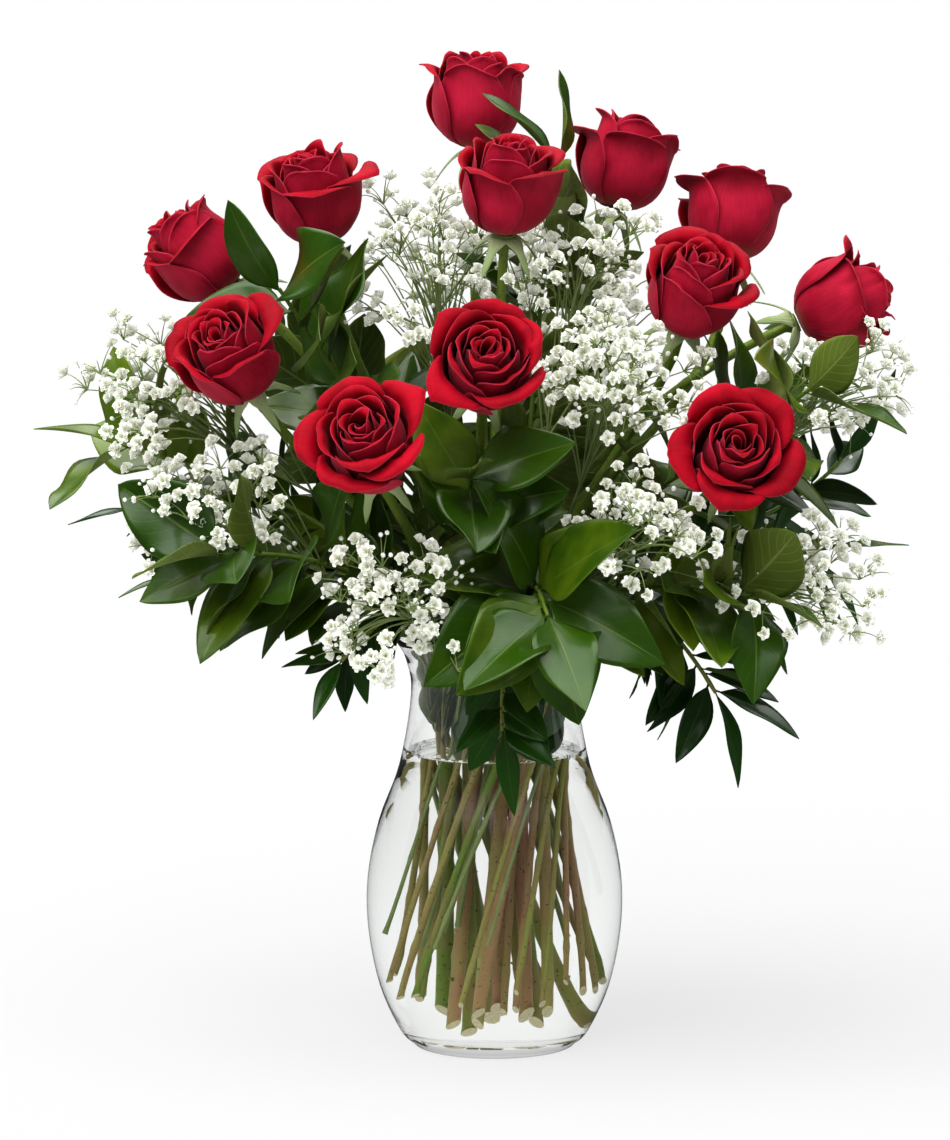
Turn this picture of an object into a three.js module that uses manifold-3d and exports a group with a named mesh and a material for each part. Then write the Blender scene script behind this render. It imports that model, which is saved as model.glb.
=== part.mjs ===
// A dozen red roses in a clear glass vase of water, with broad-leaved greens, slender-leaved greens and gypsophila.
// Millimetres, +Z up. The origin is the centre of the vase's foot, on the surface that the vase stands on.
// Every stem stands in a plain hole in the water, and the stems lean the same way round, as in a spiral bouquet.
import * as THREE from "three";
import { mergeVertices } from "three/addons/utils/BufferGeometryUtils.js";
import Module from "manifold-3d";

// ---------------------------------------------------------------- Driving dimensions
const GAP = 0.35; // clearance between pieces that touch
const WALL = 3; // glass wall
const FLOOR = 7; // thickness of the vase's foot
const WATER_LEVEL = 167;
const NECK_Z = 200; // height of the vase's narrowest ring, where the stems stand closest
const RIM_Z = 232;
const VASE_SIDES = 20;
// The vase's outer radius and height, from the foot to the rim.
const VASE_OUTLINE = [
  [46, 0], [53.6, 9], [64.8, 34], [71.2, 66], [71.5, 96], [65.2, 128], [53.6, 160], [46.9, NECK_Z], [49.8, 220],
  [56, RIM_Z],
];

const BLOOM_HEIGHT = 58;
const BLOOM_SEAT = 0.48; // share of a bloom's height that lies below its middle
const HIP_LENGTH = 9; // the round green base between a stem and its bloom
const HIP_RADIUS = 5;
const PETAL_THICK = 1;
// Overlapping whorls of petals from the guard petals inwards, in the share of the bloom's radius that each stands at.
const BLOOM_RADIUS = 24.5;
const WHORLS = [
  { petals: 5, share: 1, spread: 0.86, rows: 3 },
  { petals: 3, share: 0.76, spread: 1.25, rows: 2 },
];
const BUD_RADIUS = 9.5; // the furled heart that the whorls stand round
const SEPAL_REACH = 20;

const BROAD_HABIT = { seed: 200, count: 5, slim: 0.6, turn: 2.4, rows: 3, thickness: 1, ball: 4 };
const SLENDER_HABIT = { seed: 300, count: 6, slim: 0.3, turn: Math.PI, rows: 2, thickness: 0.9, ball: 3 };
const PETIOLE = 0.1; // share of a leaf's length that is its stalk
const LEAF_TRIES = 7; // turns tried before a leaf with no room is left out

const FLORETS = 7; // on each spray
const FLORET_RADIUS = 4.8;
const FLORET_TRIES = 5;

// Rings of stems: the radius at which each ring passes the neck, and the radius at which its feet stand.
const RINGS = {
  outer: { neck: 34.5, foot: 46 },
  middle: { neck: 23.5, foot: 32 },
  inner: { neck: 12.5, foot: 17.5 },
  centre: { neck: 0, foot: 2 },
};
const SPIRAL_TURN = THREE.MathUtils.degToRad(-78); // from a stem's neck point round to its foot
const SPIRAL_LEAD = THREE.MathUtils.degToRad(-22); // from a stem's head round to its neck point
const STEM_BALLS = 60; // balls that stand for a stem where room is looked for
const ARCH_LEAST = 62; // how far a stem runs on above the neck before it bends
const ARCH_LOW = 300; // heads lower than this arch higher over the rim
const ARCH_TRIES = 8; // higher and higher arches tried until a stem is clear of the others

// Each rose: the middle of its bloom, the way it faces, how far it has opened, where its first guard petal stands, and
// its ring of stems.
const ROSES = [
  { middle: [-11, 50, 531], faces: [0.02, -0.08, 1], open: 0.3, spin: 3.1, ring: "centre" },
  { middle: [7, -52, 489], faces: [0.06, -0.28, 1], open: 0.4, spin: 0.4, ring: "inner" },
  { middle: [-100, 0, 480], faces: [-0.16, -0.3, 1], open: 0.55, spin: 2.2, ring: "inner" },
  { middle: [-167, 12, 447], faces: [-0.85, -0.15, 0.75], open: 0.35, spin: 1.1, ring: "outer" },
  { middle: [-144, -88, 399], faces: [-0.4, -0.75, 0.75], open: 0.55, spin: 2.7, ring: "middle" },
  { middle: [74, 62, 495], faces: [0.25, 0.2, 1], open: 0.5, spin: 0.9, ring: "inner" },
  { middle: [133, 50, 467], faces: [0.05, 0.35, 1], open: 0.4, spin: 3.4, ring: "inner" },
  { middle: [109, -62, 434], faces: [0.22, -0.62, 0.85], open: 0.45, spin: 1.7, ring: "inner" },
  { middle: [194, 0, 421], faces: [0.95, -0.1, 0.45], open: 0.35, spin: 0.2, ring: "middle" },
  { middle: [-5, -128, 398], faces: [0.03, -0.86, 0.5], open: 0.6, spin: 1.3, ring: "inner" },
  { middle: [-68, -148, 357], faces: [-0.18, -0.8, 0.6], open: 0.7, spin: -0.8, ring: "middle" },
  { middle: [127, -120, 348], faces: [0.12, -0.88, 0.45], open: 0.75, spin: 3.2, ring: "middle" },
];

// Each leafy stem: its tip, the way the tip points, the length of its longest leaves, and its ring of stems.
const BROAD_GREENS = [
  { tip: [-118, -52, 432], points: [-0.5, -0.3, 0.8], leaf: 66, ring: "middle" },
  { tip: [-205, -40, 345], points: [-0.9, -0.2, 0.3], leaf: 62, ring: "outer" },
  { tip: [-150, -105, 292], points: [-0.8, -0.6, 0], leaf: 66, ring: "outer" },
  { tip: [28, -128, 262], points: [0.2, -0.8, -0.5], leaf: 70, ring: "outer" },
  { tip: [-14, -112, 335], points: [0, -0.8, 0.5], leaf: 60, ring: "middle" },
  { tip: [172, -62, 378], points: [0.7, -0.4, 0.6], leaf: 68, ring: "middle" },
  { tip: [140, -96, 268], points: [0.7, -0.6, -0.1], leaf: 60, ring: "outer" },
  { tip: [36, 4, 500], points: [0.15, 0, 1], leaf: 60, ring: "inner" },
  { tip: [-120, 115, 385], points: [-0.5, 0.6, 0.6], leaf: 66, ring: "outer" },
  { tip: [40, 150, 335], points: [0.2, 0.8, 0.4], leaf: 68, ring: "outer" },
];
const SLENDER_GREENS = [
  { tip: [-188, 4, 306], points: [-0.9, 0, -0.25], leaf: 66, ring: "outer" },
  { tip: [-176, 30, 264], points: [-1, 0.1, -0.1], leaf: 42, ring: "outer" },
  { tip: [-84, -92, 232], points: [-0.6, -0.6, -0.6], leaf: 42, ring: "outer" },
  { tip: [4, -104, 196], points: [0.1, -0.5, -1], leaf: 52, ring: "outer" },
  { tip: [122, -48, 208], points: [0.5, -0.3, -0.8], leaf: 62, ring: "outer" },
  { tip: [176, -30, 284], points: [1, -0.1, 0.1], leaf: 68, ring: "outer" },
  { tip: [196, 26, 330], points: [0.6, 0.1, 0.7], leaf: 64, ring: "outer" },
  { tip: [150, 120, 280], points: [0.7, 0.6, 0], leaf: 64, ring: "outer" },
  { tip: [-130, 110, 262], points: [-0.7, 0.6, -0.1], leaf: 60, ring: "outer" },
];
// Each spray of gypsophila: the middle of its cloud, the cloud's radius, and its ring of stems.
const SPRAYS = [
  { middle: [-186, -50, 372], spread: 46, ring: "middle" },
  { middle: [-158, -70, 308], spread: 44, ring: "outer" },
  { middle: [-36, -10, 440], spread: 50, ring: "inner" },
  { middle: [48, -20, 436], spread: 52, ring: "inner" },
  { middle: [66, -88, 382], spread: 46, ring: "middle" },
  { middle: [80, -112, 300], spread: 48, ring: "middle" },
  { middle: [-52, -120, 262], spread: 48, ring: "outer" },
  { middle: [190, -48, 372], spread: 36, ring: "outer" },
  { middle: [165, -84, 268], spread: 42, ring: "outer" },
  { middle: [20, 118, 415], spread: 58, ring: "middle" },
];

// ---------------------------------------------------------------- Solids from three.js geometry
const wasm = await Module();
wasm.setup();

// A closed geometry as a solid that can be joined and cut. Faces that have shrunk to a line are left out.
function solid(geometry) {
  const bare = new THREE.BufferGeometry().setAttribute("position", geometry.getAttribute("position"));
  bare.setIndex(geometry.index);
  const merged = mergeVertices(bare, 1e-3);
  const corners = merged.index.array;
  const kept = [];
  for (let i = 0; i < corners.length; i += 3) {
    const [a, b, c] = corners.slice(i, i + 3);
    if (a !== b && b !== c && a !== c) kept.push(a, b, c);
  }
  const vertProperties = merged.getAttribute("position").array;
  return new wasm.Manifold(new wasm.Mesh({ numProp: 3, vertProperties, triVerts: new Uint32Array(kept) }));
}

// Solids joined into one body. A hollow that the joining seals is filled, and a loose scrap is dropped.
function joined(solids) {
  const bodies = solids.reduce((whole, next) => whole.add(next)).decompose();
  return bodies.reduce((largest, body) => (body.volume() > largest.volume() ? body : largest));
}

function mesh(name, shape, material) {
  const made = shape.getMesh();
  const geometry = new THREE.BufferGeometry();
  geometry.setAttribute("position", new THREE.BufferAttribute(made.vertProperties, 3));
  geometry.setIndex(new THREE.BufferAttribute(made.triVerts, 1));
  geometry.computeVertexNormals();
  const piece = new THREE.Mesh(geometry, material);
  piece.name = name;
  return piece;
}

// A stock geometry with every vertex moved to place(x, y, z).
function shaped(geometry, place) {
  const position = geometry.getAttribute("position");
  for (let i = 0; i < position.count; i += 1) {
    const { x, y, z } = place(position.getX(i), position.getY(i), position.getZ(i));
    position.setXYZ(i, x, y, z);
  }
  return geometry;
}

// A profile of [radius, height] pairs, from the axis and back to it, turned round the Z axis.
function turned(profile, sides) {
  const points = profile.map(([radius, height]) => new THREE.Vector2(radius, height));
  return new THREE.LatheGeometry(points, sides).rotateX(Math.PI / 2);
}

// A bar through stations, each { at, along, radius }, with its section carried along without twist.
function bar(stations, sides) {
  let across = new THREE.Vector3(1, 0, 0);
  const frames = stations.map(({ at, along, radius }) => {
    across = across.clone().addScaledVector(along, -across.dot(along)).normalize();
    return { at, radius, across, over: across.clone().cross(along) };
  });
  const last = stations.length - 1;
  const tube = new THREE.CylinderGeometry(1, 1, 1, sides, last);
  return solid(
    shaped(tube, (x, y, z) => {
      const frame = frames[Math.round((y + 0.5) * last)];
      return frame.at.clone().addScaledVector(frame.across, x * frame.radius).addScaledVector(frame.over, z * frame.radius);
    }),
  );
}

// A thin blade, thickest along its middle and sharp at its rim. middle(u, v) gives its middle surface, with u from -1 to
// 1 across and v from 0 at the root to 1 at the tip. Both faces are split into the same triangles.
function blade(columns, rows, thickness, middle) {
  const step = 0.02;
  const points = [];
  const corner = new Map();
  for (let j = 0; j <= rows; j += 1) {
    for (let i = 0; i <= columns; i += 1) {
      const u = (2 * i) / columns - 1;
      const v = j / rows;
      const across = middle(Math.min(u + step, 1), v).sub(middle(Math.max(u - step, -1), v));
      const along = middle(u, Math.min(v + step, 1)).sub(middle(u, Math.max(v - step, 0)));
      const onRim = i === 0 || i === columns || j === rows;
      const lift = across.cross(along).setLength(onRim ? 0 : thickness / 2);
      for (const face of [1, -1]) {
        if (face === 1 || !onRim) points.push(middle(u, v).addScaledVector(lift, face));
        corner.set(`${i},${j},${face}`, points.length - 1);
      }
    }
  }
  const faces = [];
  const near = (i, j, face) => corner.get(`${i},${j},${face}`);
  for (let i = 0; i < columns; i += 1) {
    for (let j = 0; j < rows; j += 1) {
      // The diagonals of the left half lean one way and those of the right half the other.
      const ring = [[i, j], [i + 1, j], [i + 1, j + 1], [i, j + 1]];
      const turn = i < columns / 2 ? 0 : 1;
      for (const trio of [[0, 1, 2], [0, 2, 3]]) {
        const [a, b, c] = trio.map((k) => ring[(k + turn) % 4]);
        faces.push(near(...a, 1), near(...b, 1), near(...c, 1));
        faces.push(near(...a, -1), near(...c, -1), near(...b, -1));
      }
    }
    faces.push(near(i, 0, 1), near(i, 0, -1), near(i + 1, 0, -1));
    faces.push(near(i, 0, 1), near(i + 1, 0, -1), near(i + 1, 0, 1));
  }
  const geometry = new THREE.BufferGeometry().setFromPoints(points);
  geometry.setIndex(faces);
  return solid(geometry);
}

// ---------------------------------------------------------------- Chance, and the room that is taken
// Evenly spread chance draws, the same at every run.
function seeded(seed) {
  let state = seed * 104729;
  return (low, high) => {
    state = (state * 16807) % 2147483647;
    return low + ((high - low) * state) / 2147483647;
  };
}

// Balls stand for what is already placed. A new leaf or floret goes only where its own balls are clear of them.
const taken = [];
const take = (owner, balls) => balls.forEach((ball) => taken.push({ owner, ...ball }));
function isClear(owner, balls) {
  const offGlass = ({ at, radius }) => {
    const out = Math.hypot(at.x, at.y);
    const wall = outerRadius(Math.min(at.z, RIM_Z - 1));
    return at.z > RIM_Z + radius || out > wall + radius || out < wall - WALL - radius;
  };
  const meets = (ball) =>
    taken.some((other) => other.owner !== owner && other.at.distanceTo(ball.at) < other.radius + ball.radius);
  return balls.every((ball) => offGlass(ball) && !meets(ball));
}

// ---------------------------------------------------------------- Stems
const vector = ([x, y, z]) => new THREE.Vector3(x, y, z);
const bearing = ({ x, y }) => Math.atan2(y, x);
const aroundAt = (radius, turn, z) => new THREE.Vector3(radius * Math.cos(turn), radius * Math.sin(turn), z);

// Two directions across a given one. The first lies as near the X axis as it can.
function acrossTo(along) {
  const side = new THREE.Vector3(1, 0, 0).addScaledVector(along, -along.x).normalize();
  return [side, along.clone().cross(side)];
}

// Shares each ring's places among its stems in the order of their bearings, and gives each stem its foot and its neck
// point.
function plant(stems) {
  const random = seeded(7);
  for (const [ring, { neck, foot }] of Object.entries(RINGS)) {
    const members = stems.filter((stem) => stem.ring === ring).sort((a, b) => bearing(a.head) - bearing(b.head));
    const step = (2 * Math.PI) / members.length;
    const drift = members.reduce((sum, stem, k) => sum + bearing(stem.head) - k * step, 0) / members.length;
    members.forEach((stem, k) => {
      const turn = drift + SPIRAL_LEAD + k * step;
      stem.neck = aroundAt(neck, turn, NECK_Z);
      stem.foot = aroundAt(foot, turn + SPIRAL_TURN, stem.depth + random(0, 14));
      stem.leans = stem.neck.clone().sub(stem.foot).normalize();
    });
  }
}

// Bends a stem from its neck point to its head, in the lowest arch that is clear of the glass and of other stems.
function bendStem(stem) {
  const reach = stem.head.distanceTo(stem.neck);
  const least = Math.max(0.42 * reach, ARCH_LEAST + 0.5 * Math.max(0, ARCH_LOW - stem.head.z));
  const bend = stem.head.clone().addScaledVector(stem.points, -0.36 * reach);
  for (let attempt = 0; attempt < ARCH_TRIES; attempt += 1) {
    const rise = stem.neck.clone().addScaledVector(stem.leans, least * (1 + 0.15 * attempt));
    stem.curve = new THREE.CubicBezierCurve3(stem.neck, rise, bend, stem.head);
    if (isClear(stem.name, stemBalls(stem))) break;
  }
  take(stem.name, stemBalls(stem));
}

// A stem's bar: straight from its foot to its neck, and on through the given shares of its curve.
function stations(stem, shares, tipRadius) {
  const upper = shares.map((share) => ({
    at: stem.curve.getPoint(share),
    along: stem.curve.getTangent(share),
    radius: THREE.MathUtils.lerp(stem.radius, tipRadius, share),
  }));
  return [{ at: stem.foot, along: stem.leans, radius: stem.radius }, ...upper];
}

function stemBalls(stem) {
  return Array.from({ length: STEM_BALLS + 1 }, (_, k) => ({
    at: stem.curve.getPoint(k / STEM_BALLS),
    radius: stem.radius + 0.8,
  }));
}

// The hole that a stem stands in: its own straight bar, a little wider, from just under its foot.
function stemHole(stem) {
  const radius = stem.radius + GAP / Math.cos(Math.PI / stem.sides);
  const bottom = stem.foot.clone().addScaledVector(stem.leans, -GAP);
  return bar([bottom, stem.neck].map((at) => ({ at, along: stem.leans, radius })), stem.sides);
}

// ---------------------------------------------------------------- Vase and water
function outerRadius(z) {
  const above = VASE_OUTLINE.findIndex(([, height]) => height > z);
  const [[r0, z0], [r1, z1]] = VASE_OUTLINE.slice(above - 1, above + 1);
  return THREE.MathUtils.lerp(r0, r1, (z - z0) / (z1 - z0));
}

// The inside of the glass between two heights, drawn in by a clearance.
function innerProfile(bottom, top, clearance) {
  const between = VASE_OUTLINE.filter(([, z]) => z > bottom && z < top);
  const ends = (z) => [outerRadius(z), z];
  return [ends(bottom), ...between, ends(top)].map(([radius, z]) => [radius - WALL - clearance, z]);
}

function vaseSolid() {
  const inside = innerProfile(FLOOR, RIM_Z - 0.01, 0).reverse();
  return solid(turned([[0, 0], ...VASE_OUTLINE, ...inside, [0, FLOOR]], VASE_SIDES));
}

function waterSolid(stems) {
  const bottom = FLOOR + GAP;
  const profile = [[0, bottom], ...innerProfile(bottom, WATER_LEVEL, GAP), [0, WATER_LEVEL]];
  return stems.reduce((water, stem) => water.subtract(stemHole(stem)), solid(turned(profile, VASE_SIDES)));
}

// ---------------------------------------------------------------- Roses
// place(out, turn, up) is a point of a bloom: out from its axis, round it, and up from its base.
function bloomFrame({ middle, faces }) {
  const axis = vector(faces).normalize();
  const base = vector(middle).addScaledVector(axis, -BLOOM_SEAT * BLOOM_HEIGHT);
  const [side, over] = acrossTo(axis);
  const place = (out, turn, up) =>
    base.clone()
      .addScaledVector(side, out * Math.cos(turn))
      .addScaledVector(over, out * Math.sin(turn))
      .addScaledVector(axis, up);
  return { base, axis, place };
}

// The outline that all petals follow from the base: out to the belly, and partly shut again at the top.
const belly = (share, closing) => Math.sin(Math.PI * closing * share ** 0.62);

// A petal's middle surface: rolled back at its lip and its edges, with one edge under its neighbour and one over.
function petalPoint(petal, u, v) {
  const share = v * (1 - 0.2 * Math.abs(u) ** 2.6);
  const lip = petal.lip * Math.max(0, (share - 0.66) / 0.34) ** 2;
  const edge = petal.roll * Math.abs(u) ** 3 * THREE.MathUtils.smoothstep(share, 0.3, 0.9);
  const out = petal.radius * (belly(share, petal.closing) * (1 + petal.wrap * u) + lip + edge);
  return [out, petal.turn + petal.spread * u, petal.height * (share - 0.4 * lip)];
}

function petalsOf(rose) {
  const random = seeded(100 + rose.index);
  return WHORLS.flatMap((whorl, depth) => {
    const outer = 1 - depth / 5;
    return Array.from({ length: whorl.petals }, (_, k) => ({
      ...whorl,
      turn: rose.spin + depth * 0.9 + (k * 2 * Math.PI) / whorl.petals + random(-0.05, 0.05),
      radius: BLOOM_RADIUS * whorl.share,
      height: BLOOM_HEIGHT * (1 - 0.06 * outer) * random(0.97, 1.03),
      closing: 0.9 - (0.08 + 0.24 * rose.open) * outer,
      lip: (0.04 + 0.24 * rose.open) * outer ** 2 * random(0.8, 1.2),
      roll: 0.1 * outer ** 2,
      wrap: 0.14,
    }));
  });
}

// The whorls stand in a flat-topped receptacle round a furled heart.
function bloomSolid(rose) {
  const { place } = bloomFrame(rose);
  const petals = petalsOf(rose);
  const seat = 6;
  const guard = petals[0];
  const seatRadius = (guard.radius * belly(seat / guard.height, guard.closing) * (1 + guard.wrap) + PETAL_THICK) / 0.93;
  const heart = [
    [0, 0], [7, 0], [seatRadius, 3], [seatRadius, seat], [BUD_RADIUS, seat], [BUD_RADIUS * 1.15, 28],
    [BUD_RADIUS * 0.8, 47], [0, 53],
  ];
  const core = shaped(turned(heart, 7), (x, y, z) => place(Math.hypot(x, y), Math.atan2(y, x), z));
  const blades = petals.map((petal) =>
    blade(3, petal.rows, PETAL_THICK, (u, v) => place(...petalPoint(petal, u, THREE.MathUtils.lerp(0.075, 1, v)))),
  );
  return joined([solid(core), ...blades]);
}

function bloomBalls(rose) {
  const { place } = bloomFrame(rose);
  return [[-6, 17], [13, 23], [31, 29], [47, 30]].map(([up, radius]) => ({ at: place(0, 0, up), radius }));
}

// The stem, the round green hip under the bloom, and five sepals that arch out and down from it.
function roseStemSolid(rose) {
  const { axis, place } = bloomFrame(rose);
  const hip = [[HIP_LENGTH * 0.45, HIP_RADIUS], [HIP_LENGTH - GAP, HIP_RADIUS + 0.6]].map(([up, radius]) => ({
    at: rose.head.clone().addScaledVector(axis, up),
    along: axis,
    radius,
  }));
  const sepals = Array.from({ length: 5 }, (_, k) =>
    blade(2, 1, 1.2, (u, v) => {
      const out = 3 + SEPAL_REACH * v;
      const wide = 3.4 * (1 - v) * u;
      return place(Math.hypot(out, wide), rose.spin + (k * 2 * Math.PI) / 5 + Math.atan2(wide, out), -2 - 14 * v);
    }),
  );
  return joined([bar([...stations(rose, [0, 0.3, 0.65, 1], 2.6), ...hip], rose.sides), ...sepals]);
}

// ---------------------------------------------------------------- Leaves
// Half a leaf's width along its length, as a share of its widest: a narrow stalk, then a pointed oval.
function leafOutline(v) {
  const share = Math.max(0, (v - PETIOLE) / (1 - PETIOLE));
  const stalk = v < 1 ? 0.06 : 0;
  return Math.max(stalk, Math.sin(Math.PI * share ** 0.8) ** 0.8 * (1 - 0.25 * share));
}

// A leaf's middle surface. Its upper face looks up and away from the vase, and it is folded a little and droops.
function leafSurface(root, along, length, width, droop) {
  const outwards = new THREE.Vector3(root.x, root.y, 0).normalize().add(new THREE.Vector3(0, 0, 0.8));
  const face = outwards.addScaledVector(along, -outwards.dot(along)).normalize();
  const across = along.clone().cross(face);
  return (u, v) => {
    const half = (width / 2) * leafOutline(v);
    return root.clone()
      .addScaledVector(along, length * v)
      .addScaledVector(across, u * half)
      .addScaledVector(face, 0.22 * Math.abs(u) * half - droop * length * v * v);
  };
}

function leafBalls(middle, radius) {
  const rows = [0.2, 0.35, 0.5, 0.65, 0.8, 0.9, 1];
  return rows.flatMap((v) => [-0.85, -0.3, 0.3, 0.85].map((u) => ({ at: middle(u, v), radius })));
}

// The leaves of one stem, by rule: evenly spaced up its curve, each turned on from the last, and turned further or
// shortened until it is clear of what is already there.
function placeLeaves(stem, habit) {
  const random = seeded(habit.seed + stem.index);
  const start = random(0, 2 * Math.PI);
  const leaves = [];
  for (let k = 0; k < habit.count; k += 1) {
    const isLast = k === habit.count - 1;
    const share = THREE.MathUtils.lerp(0.4, 0.985, k / (habit.count - 1));
    const root = stem.curve.getPoint(share);
    const tangent = stem.curve.getTangent(share);
    const [side, over] = acrossTo(tangent);
    const size = stem.leaf * random(0.8, 1);
    const droop = random(0.08, 0.26);
    const lean = isLast ? 0.15 : random(0.75, 1.1);
    for (let attempt = 0; attempt < LEAF_TRIES; attempt += 1) {
      const turn = start + k * habit.turn + attempt * 0.9;
      const length = size * (1 - 0.05 * attempt);
      const along = tangent.clone().multiplyScalar(Math.cos(lean))
        .addScaledVector(side, Math.sin(lean) * Math.cos(turn))
        .addScaledVector(over, Math.sin(lean) * Math.sin(turn));
      const middle = leafSurface(root, along, length, length * habit.slim, droop);
      const balls = leafBalls(middle, habit.ball);
      if (isClear(stem.name, balls)) {
        take(stem.name, balls);
        leaves.push({ share, middle });
        break;
      }
    }
  }
  return leaves;
}

function leafyStemSolid(stem, habit) {
  const body = bar(stations(stem, [0, 0.25, 0.5, 0.75, 1], 1.1), stem.sides);
  return joined([body, ...stem.leaves.map(({ middle }) => blade(2, habit.rows, habit.thickness, middle))]);
}

// ---------------------------------------------------------------- Gypsophila
// Branchlets leave the upper stem all round, each with a floret at its end, out to the edge of the spray's cloud.
function placeFlorets(stem) {
  const random = seeded(500 + stem.index);
  const florets = [];
  for (let k = 0; k < FLORETS; k += 1) {
    const fork = stem.curve.getPoint(THREE.MathUtils.lerp(0.6, 0.97, k / (FLORETS - 1)));
    for (let attempt = 0; attempt < FLORET_TRIES; attempt += 1) {
      const level = random(-0.6, 1);
      const out = aroundAt(Math.sqrt(1 - level * level), k * 2.4 + attempt * 0.7, level);
      const tip = vector(stem.middle).addScaledVector(out, stem.spread * random(0.6, 1.1));
      const way = [0.3, 0.5, 0.7, 0.85].map((part) => ({ at: fork.clone().lerp(tip, part), radius: 1.4 }));
      const balls = [...way, { at: tip, radius: FLORET_RADIUS + 1 }];
      if (isClear(stem.name, balls)) {
        take(stem.name, balls);
        florets.push({ fork, tip });
        break;
      }
    }
  }
  return florets;
}

// A branchlet that widens at its end into a floret.
function floretSolid({ fork, tip }) {
  const along = tip.clone().sub(fork);
  const reach = along.length();
  const [side, over] = acrossTo(along.normalize());
  const outline = [[0, 0], [0.8, 0], [0.7, reach - FLORET_RADIUS], [FLORET_RADIUS, reach], [0, reach + FLORET_RADIUS]];
  const shape = shaped(turned(outline, 3), (x, y, z) =>
    fork.clone().addScaledVector(side, x).addScaledVector(over, y).addScaledVector(along, z),
  );
  return solid(shape);
}

function spraySolid(stem) {
  const body = bar(stations(stem, [0, 0.25, 0.5, 0.75, 1], 1), stem.sides);
  return joined([body, ...stem.florets.map(floretSolid)]);
}

// ---------------------------------------------------------------- Materials
const glass = new THREE.MeshStandardMaterial({ color: 0xe4ebe9, roughness: 0.03, transparent: true, opacity: 0.3 });
const water = new THREE.MeshStandardMaterial({ color: 0xedf3f0, roughness: 0.02, transparent: true, opacity: 0.35 });
const petalRed = new THREE.MeshStandardMaterial({ color: 0x9c0f20, roughness: 0.62 });
const stemGreen = new THREE.MeshStandardMaterial({ color: 0x71853f, roughness: 0.6 });
const broadGreen = new THREE.MeshStandardMaterial({ color: 0x46652a, roughness: 0.5 });
const slenderGreen = new THREE.MeshStandardMaterial({ color: 0x27431f, roughness: 0.42 });
const floretWhite = new THREE.MeshStandardMaterial({ color: 0xf1efe8, roughness: 0.8 });

// ---------------------------------------------------------------- The arrangement
const numbered = (name, index) => `${name}_${String(index + 1).padStart(2, "0")}`;

const roses = ROSES.map((rose, index) => {
  const { base, axis } = bloomFrame(rose);
  const head = base.clone().addScaledVector(axis, -HIP_LENGTH);
  const name = numbered("rose_stem", index);
  return { ...rose, index, name, head, points: axis, radius: 3.1, sides: 5, depth: 14 };
});
const leafyStem = (kind, radius, depth) => (green, index) => ({
  ...green,
  index,
  name: numbered(kind, index),
  head: vector(green.tip),
  points: vector(green.points).normalize(),
  radius,
  sides: 4,
  depth,
});
const broadGreens = BROAD_GREENS.map(leafyStem("broad_green", 2.2, 24));
const slenderGreens = SLENDER_GREENS.map(leafyStem("slender_green", 1.8, 30));
const sprays = SPRAYS.map((spray, index) => {
  const head = vector(spray.middle);
  const points = head.clone().sub(new THREE.Vector3(0, 0, NECK_Z)).normalize();
  return { ...spray, index, name: numbered("gypsophila", index), head, points, radius: 1.6, sides: 3, depth: 60 };
});

const stems = [...roses, ...broadGreens, ...slenderGreens, ...sprays];
plant(stems);
for (const rose of roses) take(rose.name, bloomBalls(rose));
for (const stem of stems) bendStem(stem);
for (const stem of broadGreens) stem.leaves = placeLeaves(stem, BROAD_HABIT);
for (const stem of sprays) stem.florets = placeFlorets(stem);
for (const stem of slenderGreens) stem.leaves = placeLeaves(stem, SLENDER_HABIT);

const part = new THREE.Group();
part.name = "roses_in_a_vase";
part.add(mesh("vase", vaseSolid(), glass));
part.add(mesh("water", waterSolid(stems), water));
for (const rose of roses) {
  part.add(mesh(numbered("rose_bloom", rose.index), bloomSolid(rose), petalRed));
  part.add(mesh(rose.name, roseStemSolid(rose), stemGreen));
}
for (const stem of broadGreens) part.add(mesh(stem.name, leafyStemSolid(stem, BROAD_HABIT), broadGreen));
for (const stem of slenderGreens) part.add(mesh(stem.name, leafyStemSolid(stem, SLENDER_HABIT), slenderGreen));
for (const stem of sprays) part.add(mesh(stem.name, spraySolid(stem), floretWhite));

export default part;
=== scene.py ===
import math

import bmesh
import bpy
import numpy as np
from mathutils import Matrix, Vector


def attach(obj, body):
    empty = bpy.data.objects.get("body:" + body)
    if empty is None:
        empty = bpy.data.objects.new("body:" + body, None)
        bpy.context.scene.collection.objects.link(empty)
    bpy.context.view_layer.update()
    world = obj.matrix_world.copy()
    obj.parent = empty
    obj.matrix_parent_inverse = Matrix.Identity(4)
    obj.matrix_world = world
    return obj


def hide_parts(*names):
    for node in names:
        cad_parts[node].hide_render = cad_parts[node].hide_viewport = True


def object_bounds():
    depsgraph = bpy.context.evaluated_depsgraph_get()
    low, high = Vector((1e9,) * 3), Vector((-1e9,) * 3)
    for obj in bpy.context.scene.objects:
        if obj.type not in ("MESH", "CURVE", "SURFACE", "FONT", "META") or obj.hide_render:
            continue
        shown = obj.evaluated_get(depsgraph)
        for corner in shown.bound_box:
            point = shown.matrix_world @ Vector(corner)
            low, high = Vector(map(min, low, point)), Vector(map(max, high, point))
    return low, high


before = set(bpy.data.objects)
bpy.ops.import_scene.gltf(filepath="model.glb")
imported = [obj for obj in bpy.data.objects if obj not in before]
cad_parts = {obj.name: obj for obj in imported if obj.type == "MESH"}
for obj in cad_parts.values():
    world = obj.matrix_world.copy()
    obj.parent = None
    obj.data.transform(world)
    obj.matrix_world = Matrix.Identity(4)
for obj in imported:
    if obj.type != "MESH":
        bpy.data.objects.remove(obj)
cad_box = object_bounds()
scene = bpy.context.scene


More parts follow.
